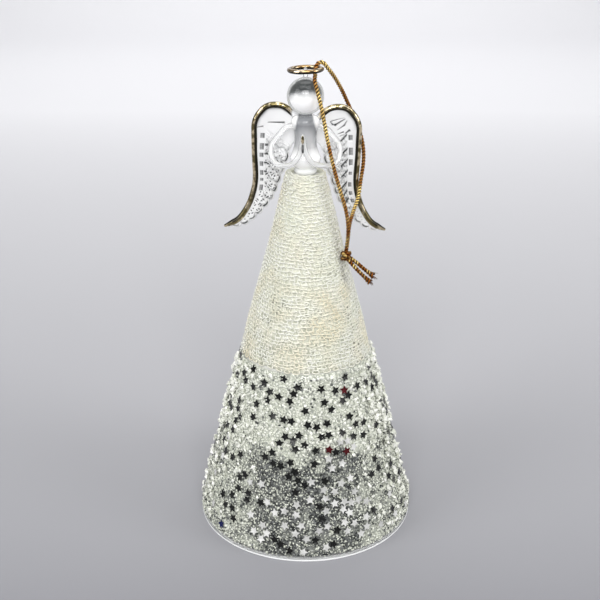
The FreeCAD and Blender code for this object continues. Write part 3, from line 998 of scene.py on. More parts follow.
# ---- lace ------------------------------------------------------------------------------
@dataclass
class LaceSleeve:
    """Spun-glass lace: rows of looped thread round the upper part of the skirt."""

    form: SkirtForm
    seed: int = 7
    row_pitch: float = 1.2 * MM
    loop_width: float = 2.7 * MM
    loop_height: float = 1.5 * MM
    lean: float = 0.2
    # Spread of each loop's drift along the row, of its height and of its rise.
    spreads: Tuple[float, ...] = (0.17, 0.22, 0.13)
    thread: float = 0.21 * MM
    points_per_loop: int = 16
    sides: int = 5
    # How far out the thread lies, how far it weaves in and out, and its lift where it rises.
    lift: float = 0.45 * MM
    weave: float = 0.14 * MM
    rise_lift: float = 0.3 * MM
    # How much further out the lace stands from the hem up, and its rise round the collar.
    heights: Tuple[float, ...] = (63.0 * MM, 72.0 * MM, 98.0 * MM, 121.0 * MM)
    extra: Tuple[float, ...] = (0.0, 0.4 * MM, 0.4 * MM, 1.3 * MM)
    crown: float = 1.4 * MM
    # Size of the loops along the hem and the top, and the fullness of the rows that close the top.
    hem_scale: float = 1.15
    top_scale: float = 0.8
    closing: Tuple[float, ...] = (1.0, 0.55, 0.2)
    # How far the hem strays from level, and the share of that lost at the top.
    hem_sway: float = 0.55 * MM
    sway_loss: float = 0.6
    sway_waves: Tuple[Wave, ...] = ((0.5, 2, 0.0, 1.0), (0.3, 5, 0.11, 0.0), (0.2, 11, 0.31, 0.0))
    ground_rings: int = 120
    ground_sides: int = 240
    ground_lift: float = 0.22 * MM
    ground_rough: float = 0.12 * MM
    bottom: float = field(init=False)
    top: float = field(init=False)

    def __post_init__(self) -> None:
        """Takes the sleeve's ends from the frame."""
        low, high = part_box("lace_sleeve")
        self.bottom = low[2]
        self.top = high[2] + self.crown

    def sway(self, angle: Array, z: float) -> Array:
        """How far up a row strays from level at some angles, most at the hem."""
        share = 1.0 - self.sway_loss * (z - self.bottom) / (self.top - self.bottom)
        return self.hem_sway * share * waves(angle, z, self.sway_waves)

    def fullness(self, z: Any) -> Any:
        """How much further out the lace stands at a height."""
        return np.interp(z, self.heights, self.extra)

    def row(self, z: float, scale: float, rng: Random, full: float = 1.0) -> Shape:
        """One closed row of looped thread.

        Args:
            z: height of its middle.
            scale: size of its loops against the usual size.
            rng: source of unevenness.
            full: share of the fullness that it stands out by.

        Returns:
            Points and faces.
        """
        loops = max(10, round(TAU * self.form.radius(z) / (self.loop_width * scale)))
        t = np.arange(loops * self.points_per_loop) / self.points_per_loop
        knots = np.arange(loops + 1)
        uneven = [np.resize(rng.normal(0, spread, loops), loops + 1) for spread in self.spreads]
        drift, tall, rise = (np.interp(t, knots, values) for values in uneven)
        angle = TAU * (t + rng.uniform(0, 1) + drift + self.lean * np.sin(2 * TAU * t)) / loops
        swing = 0.5 * scale * self.loop_height * (1.0 + tall) * np.cos(TAU * t)
        height = z + self.sway(angle, z) + swing + rise * self.row_pitch
        lift = self.lift + self.weave * np.sin(2 * TAU * t + 0.8) + self.rise_lift * rise
        path = self.form.point(angle, height, lift + full * self.fullness(z))
        outward = self.form.normal(angle)
        across = unit(np.cross(directions(path, True), outward))
        points = tube(path, across, outward, self.thread * scale, self.sides)
        return points, grid_faces(len(path), self.sides, True)

    def threads(self) -> Soup:
        """All rows, with slightly larger loops along the hem.

        Returns:
            The threads.
        """
        rng = np.random.default_rng(self.seed)
        hem = self.bottom + 0.75 * self.loop_height
        soup = Soup(*self.row(hem, self.hem_scale, rng))
        for z in np.arange(hem + 0.8 * self.row_pitch, self.top - 0.9 * self.loop_height, self.row_pitch):
            soup.add(*self.row(z, 1.0, rng))
        for full in self.closing:
            soup.add(*self.row(self.top - 0.5 * self.loop_height, self.top_scale, rng, full))
        return soup

    def ground(self) -> Soup:
        """The thin uneven layer behind the loops, as a closed skin.

        Returns:
            The layer.
        """
        rng = np.random.default_rng(self.seed + 1)
        z = np.linspace(self.bottom + 0.5 * MM, self.top, self.ground_rings)
        angles, heights = np.meshgrid(circle(self.ground_sides), z)
        heights = heights + np.linspace(1, 0, len(z))[:, None] * self.sway(angles[0], self.bottom)
        lift = self.ground_lift + rng.uniform(0, self.ground_rough, angles.shape) + self.fullness(z)[:, None]
        return Soup(*self.form.skin(angles, heights, lift))

    def build(self) -> None:
        """Builds and dresses the lace."""
        threads = self.threads().piece("lace_threads")
        dress(threads, SpunGlass().material(), ANGEL, "spun_lace", "lace_sleeve")
        ground = self.ground().piece("lace_ground")
        dress(ground, LaceGround().material(), ANGEL, "spun_lace")


# ---- glitter ---------------------------------------------------------------------------
@dataclass
class GlitterCoat:
    """Grains of crushed glass in a film of glue."""

    form: SkirtForm
    seed: int = 11
    pitch: float = 0.82 * MM
    grain: float = 0.5 * MM
    film_rings: int = 120
    film_sides: int = 420
    film_lift: float = 0.2 * MM
    film_rough: float = 0.12 * MM
    film_hem: float = 0.1 * MM
    # Rows of grains, against the pitch, and how far each grain strays from its place.
    row_step: float = 0.92
    stray: Pair = (0.42, 0.4)
    # Length of a grain's three axes, its tilt, and how far out its middle is, at least and more.
    axes: Tuple[float, float, float] = (1.0, 0.75, 0.6)
    tilt: float = 0.3
    seat: Pair = (0.36 * MM, 0.2 * MM)
    # Share of dark grains, which are painted shade, and how much larger it is where the glue is clean.
    dark: float = 0.045
    dark_when_clean: float = 0.36
    # Clean patches: how many, half their width, their height, how far both fade out, how much
    # they waver, and how clean the glue is between them.
    patches: int = 3
    patch_reach: float = 27.0 * MM
    patch_top: float = 37.0 * MM
    patch_fade: Pair = (12.0 * MM, 6.5 * MM)
    patch_waves: Tuple[Wave, ...] = ((1.6 * MM, 7, 0.3, 0.0), (1.2 * MM, 19, -0.4, 0.0))
    between: float = 0.45
    bottom: float = field(init=False)
    top: float = field(init=False)
    widest: float = field(init=False)

    def __post_init__(self) -> None:
        """Takes the coat's ends from the frame."""
        low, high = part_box("glitter_coat")
        self.bottom = low[2]
        self.top = high[2]
        self.widest = high[0]

    def within(self, points: Array) -> Array:
        """The points, drawn in where they would stand past the widest part of the coat."""
        share = np.minimum(1.0, self.widest / np.hypot(points[..., 0], points[..., 1]))
        return points * np.stack([share, share, np.ones_like(share)], -1)

    def clean(self, angle: Array, z: Array) -> Array:
        """How free of glass dust the glue is, and so its painted shade: most in three patches round the hem.

        Args:
            angle: angles round the skirt.
            z: heights.

        Returns:
            1 in the patches, some between them, and 0 above them.
        """
        spacing = TAU / self.patches
        turn = np.abs((angle + TAU / 4 + spacing / 2) % spacing - spacing / 2)
        waver = waves(angle, z, self.patch_waves)
        beside = (self.patch_reach + 1.6 * waver - turn * self.form.radius(z)) / self.patch_fade[0]
        below = (self.patch_top + 1.4 * waver - z) / self.patch_fade[1]
        return np.maximum(np.clip(beside, 0, 1), self.between) * np.clip(below, 0, 1)

    def places(self, rng: Random) -> Tuple[Array, Array]:
        """Angle and height of every grain, in uneven rows.

        Args:
            rng: source of randomness.

        Returns:
            Angles and heights.
        """
        angles, heights = [], []
        aside, upward = self.stray
        for z in np.arange(self.bottom + 0.3 * MM, self.top - 0.2 * MM, self.pitch * self.row_step):
            count = round(TAU * self.form.radius(z) / self.pitch)
            jitter = rng.uniform(-aside, aside, count)
            angles.append((np.arange(count) + jitter + rng.uniform()) / count * TAU)
            heights.append(z + rng.uniform(-upward, upward, count) * self.pitch)
        return np.concatenate(angles), np.clip(np.concatenate(heights), self.bottom, self.top)

    def octahedra(self, centre: Array, out: Array, size: Array, rng: Random) -> Shape:
        """Crooked octahedra that lie nearly flat.

        Args:
            centre: their middles.
            out: direction that each faces.
            size: half the length of each.
            rng: source of randomness.

        Returns:
            Points and faces.
        """
        count = len(size)
        first = unit(np.cross(out, rng.normal(0, 1, (count, 3))))
        second = np.cross(out, first)
        corners = []
        for axis, share in zip((first, second, out), self.axes):
            for sign in (1, -1):
                reach = size * share * rng.uniform(0.7, 1.15, count)
                corners.append(centre + sign * axis * reach[:, None])
        points = self.within(np.stack(corners, 1).reshape(-1, 3))
        octahedron = np.array([(x, y, o) for o in (4, 5) for x, y in ((0, 2), (2, 1), (1, 3), (3, 0))])
        octahedron[4:] = octahedron[4:, ::-1]
        starts = GRAIN_CORNERS * np.arange(count)[:, None, None]
        return points, (octahedron[None] + starts).reshape(-1, 3)

    def grains(self, rng: Random) -> Tuple[Array, Array, Array]:
        """The even layer of grains: smaller, and darker with painted shade, where the glue is clean.

        Args:
            rng: source of randomness.

        Returns:
            Points, faces and tones.
        """
        angle, z = self.places(rng)
        count = len(z)
        clean = self.clean(angle, z)
        size = self.grain * rng.lognormal(0.0, 0.25, count) * (1.1 - 0.25 * clean)
        out = unit(self.form.normal(angle) + rng.normal(0, self.tilt, (count, 3)))
        lowest, more = self.seat
        centre = self.form.point(angle, z, lowest + rng.uniform(0, more, count))
        points, faces = self.octahedra(centre, out, size, rng)
        # Painted shade: dark grains, and darker tones, where the glue is clean.
        dark = rng.uniform(0, 1, count) < self.dark + self.dark_when_clean * clean
        tone = 0.52 + 0.48 * rng.beta(2.2, 2.4, count) - 0.26 * clean
        tones = np.where(dark, rng.uniform(0, 0.3, count), tone)
        return points, faces, np.repeat(tones, GRAIN_CORNERS)

    def film(self) -> Soup:
        """The uneven film of glue: a closed skin with a thin lower edge.

        Returns:
            The film, and how clean it is at each point.
        """
        rng = np.random.default_rng(self.seed + 1)
        z = np.linspace(self.bottom, self.top, self.film_rings)
        angles, heights = np.meshgrid(circle(self.film_sides), z)
        lift = self.film_lift + rng.uniform(0.0, self.film_rough, angles.shape)
        lift[0] = self.film_hem
        clean = self.clean(angles, heights).reshape(-1)
        tones = np.concatenate([clean, np.zeros(2 * self.film_sides)])
        return Soup(*self.form.skin(angles, heights, lift), tones)

    def build(self) -> None:
        """Builds and dresses the coat."""
        film = self.film().piece("glue_film", "clean")
        dress(film, GlueFilm().material(), ANGEL, "glitter", "glitter_coat")
        soup = Soup(*self.grains(np.random.default_rng(self.seed)))
        grains = soup.piece("glass_grains", "tone", smooth=False)
        dress(grains, CrushedGlass().material(), ANGEL, "glitter")


# ---- star sequins ----------------------------------------------------------------------
@dataclass
class StarSequins:
    """Foil stars strewn over the glitter in four colours, gathered in clumps at the front."""

    coat: GlitterCoat
    seed: int = 23
    # Stars in all, and the share of silver ones round the back by height, which puts the painted bright
    # reflections low down.
    total: int = 310
    silver_heights: Tuple[float, ...] = (8.0 * MM, 30.0 * MM, 40.0 * MM)
    silver_shares: Tuple[float, ...] = (0.6, 0.45, 0.05)
    # Angles in degrees between which the stars stand as the tables say.
    front: Pair = (-148.0, -34.0)
    corners: int = 10
    radius: float = 1.6 * MM
    waist: float = 0.5
    foil: float = 0.09 * MM
    dish: float = 0.1 * MM
    apart: float = 2.35 * MM
    # Spread of a clump, its height against its width, and the places that are tried in it.
    clump: float = 4.2 * MM
    flattened: float = 0.8
    tries: int = 60
    # Way from the coat's lower and upper end, how far out, and the spread of the tilt.
    margins: Pair = (1.7 * MM, 0.6 * MM)
    seat: Pair = (0.8 * MM, 1.0 * MM)
    tilt: float = 0.1
    taken: List[Array] = field(default_factory=list)
    found: Dict[FoilColour, List[Place]] = field(default_factory=lambda: {tone: [] for tone in FoilColour})
    # Angle from +X in degrees, height in millimetres, and for a clump how many stars.
    reds: Tuple[Place, ...] = (
        (-58.5, 54.5), (-74.5, 36.5), (-62.5, 35.0), (70.0, 47.0), (160.0, 30.0),
    )
    blues: Tuple[Place, ...] = ((-141.0, 5.0), (40.0, 21.0))
    dark_clumps: Tuple[Tuple[float, float, int], ...] = (
        (-105, 54, 7), (-84, 51, 5), (-98, 44, 5), (-126, 54, 6), (-80, 43, 4), (-76, 38, 4),
        (-100, 34, 6), (-96, 27, 7), (-128, 29, 5), (-56, 52, 4), (-52, 38, 5), (-136, 14, 8),
        (-92, 14, 3), (-108, 6, 3), (-70, 7, 3), (-145, 40, 5), (-40, 27, 5), (-120, 41, 2),
    )
    silver_clumps: Tuple[Tuple[float, float, int], ...] = (
        (-66, 40, 4), (-73, 27, 8), (-64, 18, 7), (-80, 11, 6), (-58, 9, 5), (-97, 8, 6),
        (-112, 19, 5), (-117, 9, 4), (-84, 20, 4),
    )

    def star(self, centre: Array, out: Array, level: Array, spin: float) -> Shape:
        """One star, slightly dished.

        Args:
            centre: its middle.
            out: direction that it faces.
            level: a direction across it.
            spin: turn about the direction that it faces.

        Returns:
            Points and faces.
        """
        first = turned(level, np.cross(out, level), np.array(spin))
        second = np.cross(out, first)
        reach = np.where(np.arange(self.corners) % 2 == 0, 1.0, self.waist)
        flat = self.radius * reach[:, None] * turned(first, second, circle(self.corners))
        rim = centre + flat + self.dish * reach[:, None] * out
        points = np.concatenate([[centre], rim, [centre - out * self.foil], rim - out * self.foil])
        under = self.corners + 1
        faces = []
        for k in range(self.corners):
            here, after = 1 + k, 1 + (k + 1) % self.corners
            faces += [(0, here, after), (under, under + after, under + here)]
            faces += [(here, under + here, under + after), (here, under + after, after)]
        return points, np.array(faces)

    def in_clump(self, clump: Tuple[float, float, int], rng: Random) -> Iterable[Place]:
        """Tries for places in a clump.

        Args:
            clump: its angle, height and number of stars.
            rng: source of randomness.

        Returns:
            Angles and heights to try.
        """
        radius = self.coat.form.radius(clump[1] * MM)
        for across, along in rng.normal(0, self.clump, (self.tries, 2)):
            yield math.radians(clump[0]) + across / radius, clump[1] * MM + self.flattened * along

    def around(self, rng: Random) -> Iterable[Place]:
        """Tries for places round the sides and the back.

        Args:
            rng: source of randomness.

        Returns:
            Angles and heights to try.
        """
        first, last = (math.radians(angle) for angle in self.front)
        angles, heights = self.coat.places(rng)
        for k in rng.permutation(len(angles)):
            if not first < (angles[k] + math.pi) % TAU - math.pi < last:
                yield angles[k], heights[k]

    def settle(self, colour: FoilColour, tries: Iterable[Place], count: int) -> None:
        """Keeps the first tries that stand free of the other stars.

        Args:
            colour: of these stars.
            tries: angles and heights.
            count: how many to keep.
        """
        low, high = self.coat.bottom + self.margins[0], self.coat.top - self.margins[1]
        for angle, z in tries:
            here = self.coat.form.point(np.array(angle), np.array(z))
            free = all(np.linalg.norm(here - other) > self.apart for other in self.taken)
            if count and free and low < z < high:
                self.taken.append(here)
                self.found[colour].append((angle, z))
                count -= 1

    def strew(self) -> None:
        """Finds a place for every star."""
        rng = np.random.default_rng(self.seed)
        for colour, places in ((FoilColour.RED, self.reds), (FoilColour.BLUE, self.blues)):
            self.settle(colour, [(math.radians(angle), z * MM) for angle, z in places], len(places))
        for colour, clumps in ((FoilColour.DARK, self.dark_clumps), (FoilColour.SILVER, self.silver_clumps)):
            for clump in clumps:
                self.settle(colour, self.in_clump(clump, rng), clump[2])
        for place in self.around(rng):
            silver = rng.uniform() < np.interp(place[1], self.silver_heights, self.silver_shares)
            if len(self.taken) < self.total:
                self.settle(FoilColour.SILVER if silver else FoilColour.DARK, [place], 1)

    def build(self) -> None:
        """Builds and dresses the stars, one piece for each colour."""
        self.strew()
        rng = np.random.default_rng(self.seed + 1)
        form = self.coat.form
        for colour, places in self.found.items():
            soup = Soup()
            for angle, z in places:
                out = unit(form.normal(np.array(angle)) + rng.normal(0, self.tilt, 3))
                level = unit(np.cross(out, (0.0, 0.0, 1.0)))
                centre = form.point(np.array(angle), np.array(z), rng.uniform(*self.seat))
                points, faces = self.star(centre, out, level, rng.uniform(0, TAU))
                soup.add(self.coat.within(points), faces)
            name = colour.value[0]
            piece = soup.piece("strewn_stars_" + name, smooth=False)
            dress(piece, StarFoil(colour).material(), ANGEL, "foil_" + name, "stars_" + name)


@dataclass
class GlassCrumbs:
    """Larger milky crumbs of glass, in clumps that stand proud between the stars."""

    coat: GlitterCoat
    stars: List[Array]
    seed: int = 31
    count: int = 1700
    # Places to choose from for each crumb, its size against the usual one, and its tone.
    choice: int = 5
    sizes: Pair = (0.45, 1.0)
    tones: Pair = (0.68, 1.0)
    size: float = 1.25 * MM
    from_star: float = 1.9 * MM
    tilt: float = 0.45
    # How much rarer the crumbs are at the front, where the coat is smooth, in clean glue and
    # beside a star, and how loosely they keep to their clumps.
    sparse: float = 0.7
    in_clean: float = 0.9
    beside_star: float = 9.0
    scatter: float = 0.35

    @staticmethod
    def front(angle: Array) -> Array:
        """1 at the front of the skirt, and 0 at its sides and back."""
        return np.clip(-np.sin(angle), 0.0, 1.0) ** 2

    def layer(self) -> Tuple[Array, Array, Array]:
        """Crumbs in clumps between the stars.

        Returns:
            Points, faces and tones.
        """
        rng = np.random.default_rng(self.seed)
        coat = self.coat
        angle = rng.uniform(0, TAU, self.choice * self.count)
        z = coat.bottom + 2 * MM + rng.uniform(0, 1, len(angle)) * (coat.top - coat.bottom - 3 * MM)
        places = coat.form.point(angle, z)
        gaps = [np.linalg.norm(places - star, axis=1) for star in self.stars]
        clumps = np.sin(17 * angle + 0.9 * z / MM) * np.sin(0.7 * z / MM - 9 * angle)
        clumps += 0.4 * np.sin(31 * angle - 0.5 * z / MM) - self.in_clean * coat.clean(angle, z)
        clumps += rng.normal(0, self.scatter, len(angle)) - self.sparse * self.front(angle)
        clumps -= self.beside_star * (np.min(gaps, axis=0) < self.from_star)
        chosen = np.argsort(-clumps)[: self.count]
        angle, z = angle[chosen], z[chosen]
        size = self.size * rng.uniform(*self.sizes, self.count) * (1.1 - 0.3 * self.front(angle))
        out = unit(coat.form.normal(angle) + rng.normal(0, self.tilt, (self.count, 3)))
        centre = coat.form.point(angle, z, 0.35 * MM + 0.85 * size)
        points, faces = coat.octahedra(centre, out, size, rng)
        return points, faces, np.repeat(rng.uniform(*self.tones, self.count), GRAIN_CORNERS)

    def build(self) -> None:
        """Builds and dresses the crumbs."""
        crumbs = Soup(*self.layer()).piece("glass_crumbs", "tone", smooth=False)
        dress(crumbs, CrushedGlass().material(), ANGEL, "glitter")


# ---- clear and gilded glass ------------------------------------------------------------
@dataclass
class GlassFigure:
    """The pieces whose packed form is right, and slivers of painted reflection and painted shade between the
    palms.
    """

    finishes: Tuple[Tuple[Tuple[str, ...], Any], ...] = (
        # Clear glass with painted shade along its outlines.
        (("arm_left", "arm_right", "halo_stem"), ClearGlass(
            outline=(0.08, 0.09, 0.09, 1.0), clearness=0.72, fade=1.9, painted_glow=0.03,
        )),
        (("collar_bead",), ClearGlass(
            outline=(0.25, 0.26, 0.25, 1.0), clearness=0.1, fade=2.4, painted_glow=0.04,
        )),
        # Painted shade above a height and painted white light below it; the torso also gets painted
        # highlights on its shoulders.
        (("torso",), ShadePaintedGlass(
            dark_from=127.4 * MM, dark_over=12.5 * MM, veil_over=3.4 * MM,
            painted_shade=(0.33, 0.345, 0.36, 1.0), painted_pale_shade=(0.86, 0.86, 0.86, 1.0), outline=(0.15, 0.16, 0.16, 1.0),
            sag=0.0, side_shade=0.85, clearness=0.5, border=0.84,
            shoulder_out=1.7 * MM, shoulder_at=141.0 * MM, shoulder_slope=0.3,
        )),
        (("head",), ShadePaintedGlass(
            dark_from=146.5 * MM, dark_over=2.9 * MM, veil_over=2.3 * MM,
            painted_shade=(0.04, 0.045, 0.045, 1.0), outline=(0.75, 0.77, 0.75, 1.0), clearness=0.75,
        )),
        (("skirt_shell",), SkirtGlass()),
        # Painted shade on the inner side of each wing rim and on the halo's lower side.
        (("wing_rim_left",), GoldLustre(bare_within=3.9 * MM, inner=(8.5 * MM, 4.0 * MM, 126.0 * MM))),
        (("wing_rim_right",), GoldLustre(bare_within=3.9 * MM, inner=(-8.5 * MM, 4.0 * MM, 126.0 * MM))),
        (("halo_ring",), GoldLustre(
            bright=(0.98, 0.84, 0.6, 1.0), worn=(0.4, 0.25, 0.1, 1.0), patch=3.6 * MM, inner=(0.0, 0.0, -0.2),
        )),
    )
    palms: Point = (-0.9 * MM, -7.05 * MM, 131.3 * MM)
    half_depth: float = 0.12 * MM
    rings: int = 17
    sides: int = 12

    def spindle(self, rise: float, half_width: float, half_height: float) -> Soup:
        """A slim closed sliver between the palms.

        Args:
            rise: height of its middle above the palms' place.
            half_width: half its width.
            half_height: half its height.

        Returns:
            Its points and faces.
        """
        x, y, z = self.palms
        along = np.linspace(-1, 1, self.rings)[:, None]
        girth = np.sqrt(1.0001 - along ** 2)
        turn = circle(self.sides)
        height = z + rise + half_height * along + 0.0 * turn
        points = [x + half_width * girth * np.cos(turn), y + self.half_depth * girth * np.sin(turn), height]
        faces = grid_faces(self.rings, self.sides, False)[:, ::-1]
        return Soup(np.stack(points, -1).reshape(-1, 3), faces)

    def build(self) -> None:
        """Dresses the nodes, and adds the slivers between the palms."""
        for nodes, finish in self.finishes:
            material = finish.material()
            for node in nodes:
                refinish(node, material)
        # Painted shade: a dark sliver in the gap between the palms.
        shade = self.spindle(0.0, 0.55 * MM, 1.4 * MM).piece("palm_shade")
        dress(shade, StarFoil(FoilColour.DARK).material(), ANGEL, "clear_glass")
        # Painted reflection: a gold sliver that stands for gold seen in the glass between the palms.
        gold = self.spindle(2.7 * MM, 0.48 * MM, 1.35 * MM).piece("palm_painted_reflection")
        dress(gold, GoldLustre(patch=1.5 * MM).material(), ANGEL, "gold_lustre")


# ---- wings -----------------------------------------------------------------------------
@dataclass(frozen=True)
class WingForm:
    """What one wing has for itself, in millimetres and degrees."""

    name: str
    sign: int
    # How it was set: out, up and roll.
    out: float
    up: float
    roll: float
    # How wild its pressed pattern is, and the line from which the rim shades its arch.
    wild: float
    shade_from: float
    # Height above the root and half the height of each cell along the rim.
    rungs: Tuple[Pair, ...]
    # Thin end, thick end and half the width of each single cut in the arch.
    strokes: Tuple[Tuple[Pair, Pair, float], ...]


class Side(Enum):
    """The two wings."""

    LEFT = WingForm(
        "left", 1, 0.4, -0.4, -1.0, wild=0.6, shade_from=2.4,
        rungs=(
            (-3.4, 0.95), (-8.0, 1.35), (-11.7, 1.1), (-15.4, 0.6), (-19.3, 0.85), (-22.3, 0.7), (-24.9, 0.7),
        ),
        strokes=(
            ((7.4, 1.9), (8.2, 0.9), 0.26), ((8.0, 0.95), (9.2, 0.75), 0.3),
            ((12.0, 2.7), (9.0, 0.75), 0.36), ((11.6, 3.1), (7.6, 2.0), 0.16),
            ((12.7, 2.2), (11.9, 0.6), 0.24), ((9.8, -0.8), (11.9, 0.6), 0.24),
            ((12.4, -2.0), (13.8, -0.9), 0.4), ((9.9, -2.2), (11.8, -1.5), 0.26),
        ),
    )
    RIGHT = WingForm(
        "right", -1, -0.4, 0.0, 1.0, wild=1.0, shade_from=0.6,
        rungs=(
            (-3.6, 0.9), (-7.2, 1.15), (-10.1, 0.8), (-13.1, 0.85), (-16.1, 0.9), (-18.5, 0.6), (-21.3, 1.1),
        ),
        strokes=(((12.2, 0.85), (7.2, 0.95), 0.36), ((16.0, -0.9), (13.9, -0.55), 0.18)),
    )


@dataclass(frozen=True)
class LeafPoints:
    """Points over the front of a leaf, in millimetres."""

    # Number of each point's line among the stations, way from the rim and way left to the edge.
    line: Array
    way: Array
    edge: Array
    # Out and up from the root.
    out: Array
    up: Array

    @property
    def across(self) -> Array:
        """Where each point lies across its feather, from -0.5 to 0.5."""
        return (self.line + 0.5) % 1.0 - 0.5


@dataclass
class WingLeaf:
    """Pressed glass leaf of a wing, in millimetres: scalloped feathers, veins, barbs and a ladder."""

    side: Side
    rows: int = 400
    columns: int = 84
    half_thickness: float = 0.42
    rounding: float = 0.45
    root: Point = (0.0, 2.6, 136.4)
    lean: float = 5.7
    sweep: float = 5.7
    # Depth of the valleys between the feathers' tips, and the line from which the tips are cut.
    valley: float = 1.0
    tips_from: float = 4.6
    # Feathers: line and way from the rim from which they are pressed, and their parts' widths.
    feathers_from: float = 4.4
    feathers_beside: float = 3.8
    groove: float = 0.11
    vein: float = 0.06
    barb_pitch: float = 1.15
    # Flecks: lines from which they start and lie closer to the rim, and both ways from it.
    flecks_from: float = 5.5
    flecks_near: float = 10.3
    fleck_ways: Pair = (1.9, 4.2)
    # Rounded cut inside each tip: way from the leaf's edge and half its width.
    tip_cut: Pair = (0.66, 0.27)
    cut_depth: float = 0.28
    # Ways from the rim between which the cells, their deep side, the wedges, and the falling
    # and rising cuts beside them lie.
    cells: Pair = (1.85, 2.95)
    deep_side: Pair = (2.8, 3.5)
    wedges: Pair = (3.65, 5.1)
    falling: Pair = (3.8, 6.6)
    climbing: Pair = (4.6, 6.6)
    # Outer and inner end of each line across the leaf, in millimetres out and up from the root.
    stations: Tuple[Tuple[float, float, float, float], ...] = (
        (2.0, 0.2, 0.6, -2.9), (5.2, 4.2, 1.9, -3.8), (8.6, 6.2, 3.0, -4.7), (12.6, 5.9, 3.9, -5.5),
        (15.7, 2.6, 4.5, -6.2), (16.5, -1.4, 4.9, -7.0), (16.7, -4.9, 5.6, -11.0),
        (16.8, -8.4, 7.0, -14.9), (16.7, -11.9, 8.5, -18.8), (16.5, -15.1, 9.5, -21.8),
        (16.4, -18.4, 10.8, -25.0), (16.8, -21.4, 12.8, -27.6), (17.9, -24.8, 14.9, -30.3),
        (19.6, -27.8, 17.3, -32.7), (21.6, -30.8, 19.9, -34.7), (24.0, -33.6, 23.0, -36.0),
        (26.6, -35.3, 26.2, -35.9),
    )

    def outline(self) -> Tuple[Array, Array, Array]:
        """Both ends of every line across the leaf.

        Returns:
            The line's number among the stations, its outer end and its inner end.
        """
        table = np.array(self.stations)
        s = np.linspace(0, len(table) - 1, self.rows)
        kernel = np.hanning(17)[1:-1]
        ends = []
        for column in table.T:
            padded = np.pad(np.interp(s, np.arange(len(table)), column), 7, mode="edge")
            ends.append(np.convolve(padded, kernel / kernel.sum(), mode="valid"))
        outer, inner = np.stack(ends[:2], -1), np.stack(ends[2:], -1)
        round_tip = np.sqrt(np.clip(1 - (2 * ((s + 0.5) % 1.0) - 1) ** 2, 0, 1))
        scallop = self.valley * (1 - round_tip) * rising(s, self.tips_from, 1.0)
        length = np.linalg.norm(outer - inner, axis=1, keepdims=True)
        inner = inner + (outer - inner) / length * np.minimum(scallop[:, None], 0.6 * length)
        return s, outer, inner

    def feathers(self, at: LeafPoints) -> Tuple[Array, Array]:
        """The feathers' grooves, veins and barbs.

        Args:
            at: points of the front.

        Returns:
            Relief, and the painted shade at each point, between 0 and 1.
        """
        share = rising(at.line, self.feathers_from, 0.5) * rising(at.way, self.feathers_beside, 0.5)
        bend = 0.09 * np.sin(1.9 * at.way + 1.3 * at.line)
        groove = ridge(0.5 - np.abs((at.across + bend + 0.5) % 1.0 - 0.5), self.groove)
        waver = 2.0 * self.side.value.wild * np.sin(1.7 * at.out + 0.9 * at.up)
        barbs = np.sin(TAU * (at.way / self.barb_pitch + 2.2 * np.abs(at.across)) + waver)
        relief = share * (0.1 * barbs + 0.2 * ridge(at.across, self.vein) - 0.3 * groove)
        return relief * rising(at.edge, 0.0, 0.8), share * (0.35 * groove + 0.22 * rising(barbs, 0.6, 0.25))

    def cuts(self, at: LeafPoints) -> Array:
        """The deeper cuts: the ladder, flecks, the tips' rounded cuts and single strokes.

        Args:
            at: points of the front.

        Returns:
            Share of the full depth at each point, or more where cuts meet.
        """
        wing = self.side.value
        ripple = np.sin(3.3 * at.out + 1.3 * np.sin(2.3 * at.up))
        ripple = ripple * np.sin(3.9 * at.up + 1.1 * np.sin(2.9 * at.out))
        flecks = rising(ripple, 0.52, 0.2) * rising(at.line, self.flecks_from, 1.0) * (at.edge > 1.0)
        flecks = flecks * (at.way > np.where(at.line > self.flecks_near, *self.fleck_ways))
        tip = np.clip((0.44 - np.abs(at.across - 0.06)) * 6, 0, 1) * rising(at.line, self.tips_from, 1.0)
        cut_at, cut_width = self.tip_cut
        arc = ridge(at.edge - cut_at, cut_width) * tip * (0.9 + 0.3 * np.sin(2.4 * np.round(at.line)))
        strokes = sum(self.stroke(at.out, at.up, *stroke) for stroke in wing.strokes)
        cells = self.ladder(at.way, at.up)
        return cells + wing.wild ** 2 * flecks + (0.75 + 0.35 * wing.wild) * arc + strokes

    def pattern(self, at: LeafPoints) -> Tuple[Array, Array]:
        """The pressed pattern of the front.

        Args:
            at: points of the front.

        Returns:
            Relief, and the painted shade at each point, between 0 and 1.
        """
        relief, dark = self.feathers(at)
        cuts = self.cuts(at)
        # Painted shade beside the rim under the arch, added to the painted shade of the grooves and cuts.
        shade = ridge(at.way, 0.85) * np.clip(5.0 - at.line, 0, 1)
        shade = shade * rising(at.line, self.side.value.shade_from, 1.0)
        waver = 0.05 * np.sin(0.9 * at.out + 0.7 * at.up)
        return relief - self.cut_depth * np.clip(cuts, 0, 1) + waver, np.clip(dark + cuts + shade, 0, 1)

    @staticmethod
    def between(value: Array, low: float, high: float) -> Array:
        """One between two limits, with soft ends."""
        return rising(value, low, 0.16) * rising(-value, -high, 0.16)

